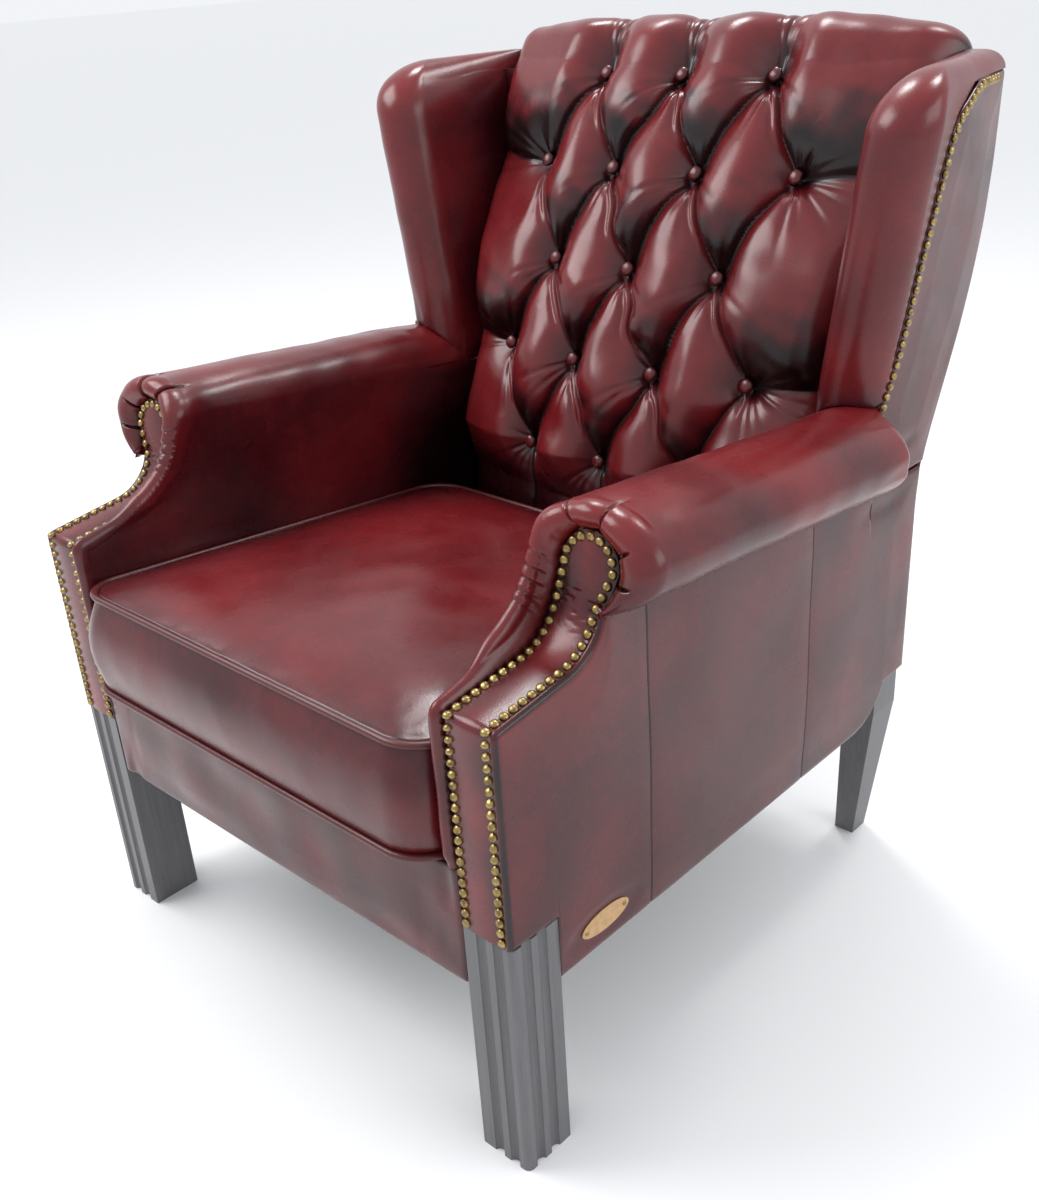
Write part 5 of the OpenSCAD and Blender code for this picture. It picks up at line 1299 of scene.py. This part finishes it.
class WINGCHAIR_OT_stage(bpy.types.Operator):
    """Sets up the camera, the pale floor and the studio light."""

    bl_idname = "wing_chair.stage"
    bl_label = "Stage"

    def execute(self, context):
        """Makes the camera first, then the floor, the lights and the sky."""
        scene = context.scene
        camera = self.camera()
        scene.collection.objects.link(camera)
        scene.camera = camera
        floor = self.floor(40.0)
        scene.collection.objects.link(floor)
        for name, place, aim, size, power in (
                ("window", (-0.9, 1.1, 3.0), (0.0, 0.1, 0.7), (0.6, 0.5), 24),
                ("window_two", (0.5, 1.6, 2.9), (0.3, 0.2, 0.8), (0.5, 0.5), 16),
                ("sky_window", (-1.5, -1.1, 2.6), (0.1, 0.1, 0.7), (2.0, 1.4), 56),
                ("side_window", (3.0, 0.7, 1.9), (0.2, 0.0, 0.6), (2.2, 1.6), 26)):
            scene.collection.objects.link(self.light(name, place, aim, size, power))
        scene.world = bpy.data.worlds.new("studio")
        scene.world.use_nodes = True
        sky = scene.world.node_tree.nodes["Background"]
        sky.inputs["Color"].default_value = (0.95, 0.97, 1.0, 1)
        sky.inputs["Strength"].default_value = 0.94
        scene.view_settings.view_transform = "Standard"
        return {"FINISHED"}

    def camera(self):
        """The camera that the photograph was fitted to, turned by its azimuth, elevation and
        roll."""
        level = Vector((math.cos(AZIMUTH), math.sin(AZIMUTH), 0))
        ahead = Vector((-math.sin(AZIMUTH), math.cos(AZIMUTH), 0))
        back = Vector((0, 0, 1)) * math.sin(ELEVATION) - ahead * math.cos(ELEVATION)
        rise = back.cross(level)
        right = level * math.cos(ROLL) + rise * math.sin(ROLL)
        up = rise * math.cos(ROLL) - level * math.sin(ROLL)
        wide, high = PICTURE_PX
        lens = bpy.data.cameras.new("camera")
        lens.sensor_width, lens.lens = SENSOR, FOCAL_PX * SENSOR / high
        lens.shift_x, lens.shift_y = (wide / 2 - CENTRE_PX[0]) / high, (CENTRE_PX[1] - high / 2) / high
        lens.clip_end = 100
        made = bpy.data.objects.new("camera", lens)
        turned = Matrix((right, up, back)).transposed().to_4x4()
        made.matrix_world = Matrix.Translation(Vector(placed(EYE))) @ turned
        return made

    def floor(self, reach):
        """A square floor that reaches as far as that from the chair."""
        data = bpy.data.meshes.new("floor")
        corners = ((-1, -1), (1, -1), (1, 1), (-1, 1))
        data.from_pydata([(x * reach, y * reach, 0) for x, y in corners], [], [(0, 1, 2, 3)])
        data.materials.append(painted("studio_floor", (0.93, 0.93, 0.935, 1), 0.55))
        return bpy.data.objects.new("floor", data)

    def light(self, name, place, aim, size, power):
        """A rectangular lamp at a place, turned to a point."""
        lamp = bpy.data.lights.new(name, "AREA")
        lamp.shape, lamp.energy = "RECTANGLE", power
        lamp.size, lamp.size_y = size
        made = bpy.data.objects.new(name, lamp)
        way = Vector(place) - Vector(aim)
        made.matrix_world = Matrix.Translation(place) @ way.to_track_quat("Z", "Y").to_matrix().to_4x4()
        return made


class WINGCHAIR_OT_back(Build, bpy.types.Operator):
    """Builds the deep-buttoned back."""

    bl_idname = "wing_chair.back"
    bl_label = "Buttoned back"

    def build(self, sizes):
        """The pad, its covered buttons and the outside back."""
        piece("buttoned_back", pad_back(sizes), "leather", ["back_pad"])
        piece("covered_buttons", button_meshes(sizes), "buttons", ["back_buttons"])
        piece("outside_back_leather", outside_back_mesh(sizes), "leather", ["outside_back"])


class WINGCHAIR_OT_cushion(Build, bpy.types.Operator):
    """Builds the loose seat cushion with its piping."""

    bl_idname = "wing_chair.cushion"
    bl_label = "Seat cushion"

    def build(self, sizes):
        """The cover and the two pipings."""
        cover = piece("cushion_leather", cushion_mesh(sizes), "leather", ["cushion_cover"], CUSHION)
        for name, height in (("top", CUSHION_HIGH), ("bottom", CUSHION_LOW)):
            piece(f"piping_{name}", piping_mesh(height), "piping", [f"cushion_piping_{name}"], CUSHION)


class WINGCHAIR_OT_arms(Build, bpy.types.Operator):
    """Builds the inside arms with their rolls, the facings and the outside arms."""

    bl_idname = "wing_chair.arms"
    bl_label = "Arms"

    def build(self, sizes):
        """An inside arm, a facing and an outside arm to each side."""
        for k, side in enumerate(SIDES):
            sided("inside_arm", "arm_pad", arm_mesh(sizes, 100 + 10 * k), side)
            sided("arm_facing", "facing", facing_mesh(sizes, 140 + 10 * k), side)
            outside = outside_arm_mesh(sizes, 160 + 10 * k, k == 0)
            sided("outside_arm_leather", "outside_arm", outside, side)


class WINGCHAIR_OT_wings(Build, bpy.types.Operator):
    """Builds the wings and their outside panels."""

    bl_idname = "wing_chair.wings"
    bl_label = "Wings"

    def build(self, sizes):
        """A padded wing and an outside panel to each side."""
        for k, side in enumerate(SIDES):
            sided("wing", "wing_pad", wing_mesh(200 + 10 * k), side)
            sided("outside_wing_leather", "outside_wing", outside_wing_mesh(sizes, 230 + 10 * k), side)


class WINGCHAIR_OT_border(Build, bpy.types.Operator):
    """Builds the front border, the seat platform, the webbing and the dust cover."""

    bl_idname = "wing_chair.border"
    bl_label = "Border, platform and webbing"

    def build(self, sizes):
        """The border, the dust cover, the straps and the platform's cloth pad."""
        piece("front_border_leather", border_mesh(sizes), "leather", ["front_border"])
        cloth = piece("dust_cover_cloth", dust_cover_mesh(), "cloth", ["dust_cover"])
        seat = piece("seat_straps", seat_webbing_mesh(), "jute", ["seat_webbing"])
        back = piece("back_straps", back_webbing_mesh(), "jute", ["back_webbing"])
        piece("seat_platform", deck_mesh(), "cloth", ["seat_deck"])


class WINGCHAIR_OT_nails(Build, bpy.types.Operator):
    """Builds the domed nail heads."""

    bl_idname = "wing_chair.nails"
    bl_label = "Nails"

    def build(self, sizes):
        """The nails of the facings and of the wings."""
        for k, side in enumerate(SIDES):
            for part, row in (("facing", facing_nail_rows), ("wing", wing_nail_row)):
                heads = nail_heads(sizes, *row(sizes), 300 + k)
                sided(f"{part}_nail_heads", f"{part}_nails", heads, side, "brass")


class WINGCHAIR_OT_finishes(bpy.types.Operator):
    """Gives the frame's own pieces their wood and metal."""

    bl_idname = "wing_chair.finishes"
    bl_label = "Finishes"

    def execute(self, context):
        """Each CAD node that stays gets the finish of its kind."""
        made = finishes()
        kinds = {"front_leg": "stained", "rear_leg": "stained", "oval_plate": "plate",
                 "plate_screws": "brass", "corner_block_screws": "steel", "arm_lining": "board",
                 "scroll_board": "board", "wing_board": "board"}
        for name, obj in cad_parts.items():
            kind = next((v for k, v in kinds.items() if name.startswith(k)), "beech")
            for slot in obj.material_slots:
                slot.link, slot.material = "OBJECT", made[kind]
        return {"FINISHED"}


class WINGCHAIR_PT_panel(bpy.types.Panel):
    """Lists the chair's operators and sizes."""

    bl_label = "Wing chair"
    bl_idname = "WINGCHAIR_PT_panel"
    bl_space_type = "VIEW_3D"
    bl_region_type = "UI"
    bl_category = "Wing chair"

    def draw(self, context):
        """One button for each operator, then the sizes and colours."""
        for operator in OPERATORS:
            self.layout.operator(operator.bl_idname)
        for group in (context.scene.wing_chair_sizes, context.scene.wing_chair_colours):
            for key in group.bl_rna.properties.keys():
                if key not in ("rna_type", "name"):
                    self.layout.prop(group, key)


OPERATORS = (WINGCHAIR_OT_stage, WINGCHAIR_OT_back, WINGCHAIR_OT_cushion, WINGCHAIR_OT_arms,
             WINGCHAIR_OT_wings, WINGCHAIR_OT_border, WINGCHAIR_OT_nails, WINGCHAIR_OT_finishes)
CLASSES = (ChairSizes, ChairColours) + OPERATORS + (WINGCHAIR_PT_panel,)


def register():
    """Adds the classes and the scene's settings."""
    for cls in CLASSES:
        bpy.utils.register_class(cls)
    bpy.types.Scene.wing_chair_sizes = PointerProperty(type=ChairSizes)
    bpy.types.Scene.wing_chair_colours = PointerProperty(type=ChairColours)


def unregister():
    """Takes them away again."""
    del bpy.types.Scene.wing_chair_colours
    del bpy.types.Scene.wing_chair_sizes
    for cls in reversed(CLASSES):
        bpy.utils.unregister_class(cls)


def main():
    """Builds the chair step by step."""
    register()
    for operator in OPERATORS:
        group, name = operator.bl_idname.split(".")
        getattr(getattr(bpy.ops, group), name)()


if __name__ == "__main__":
    main()
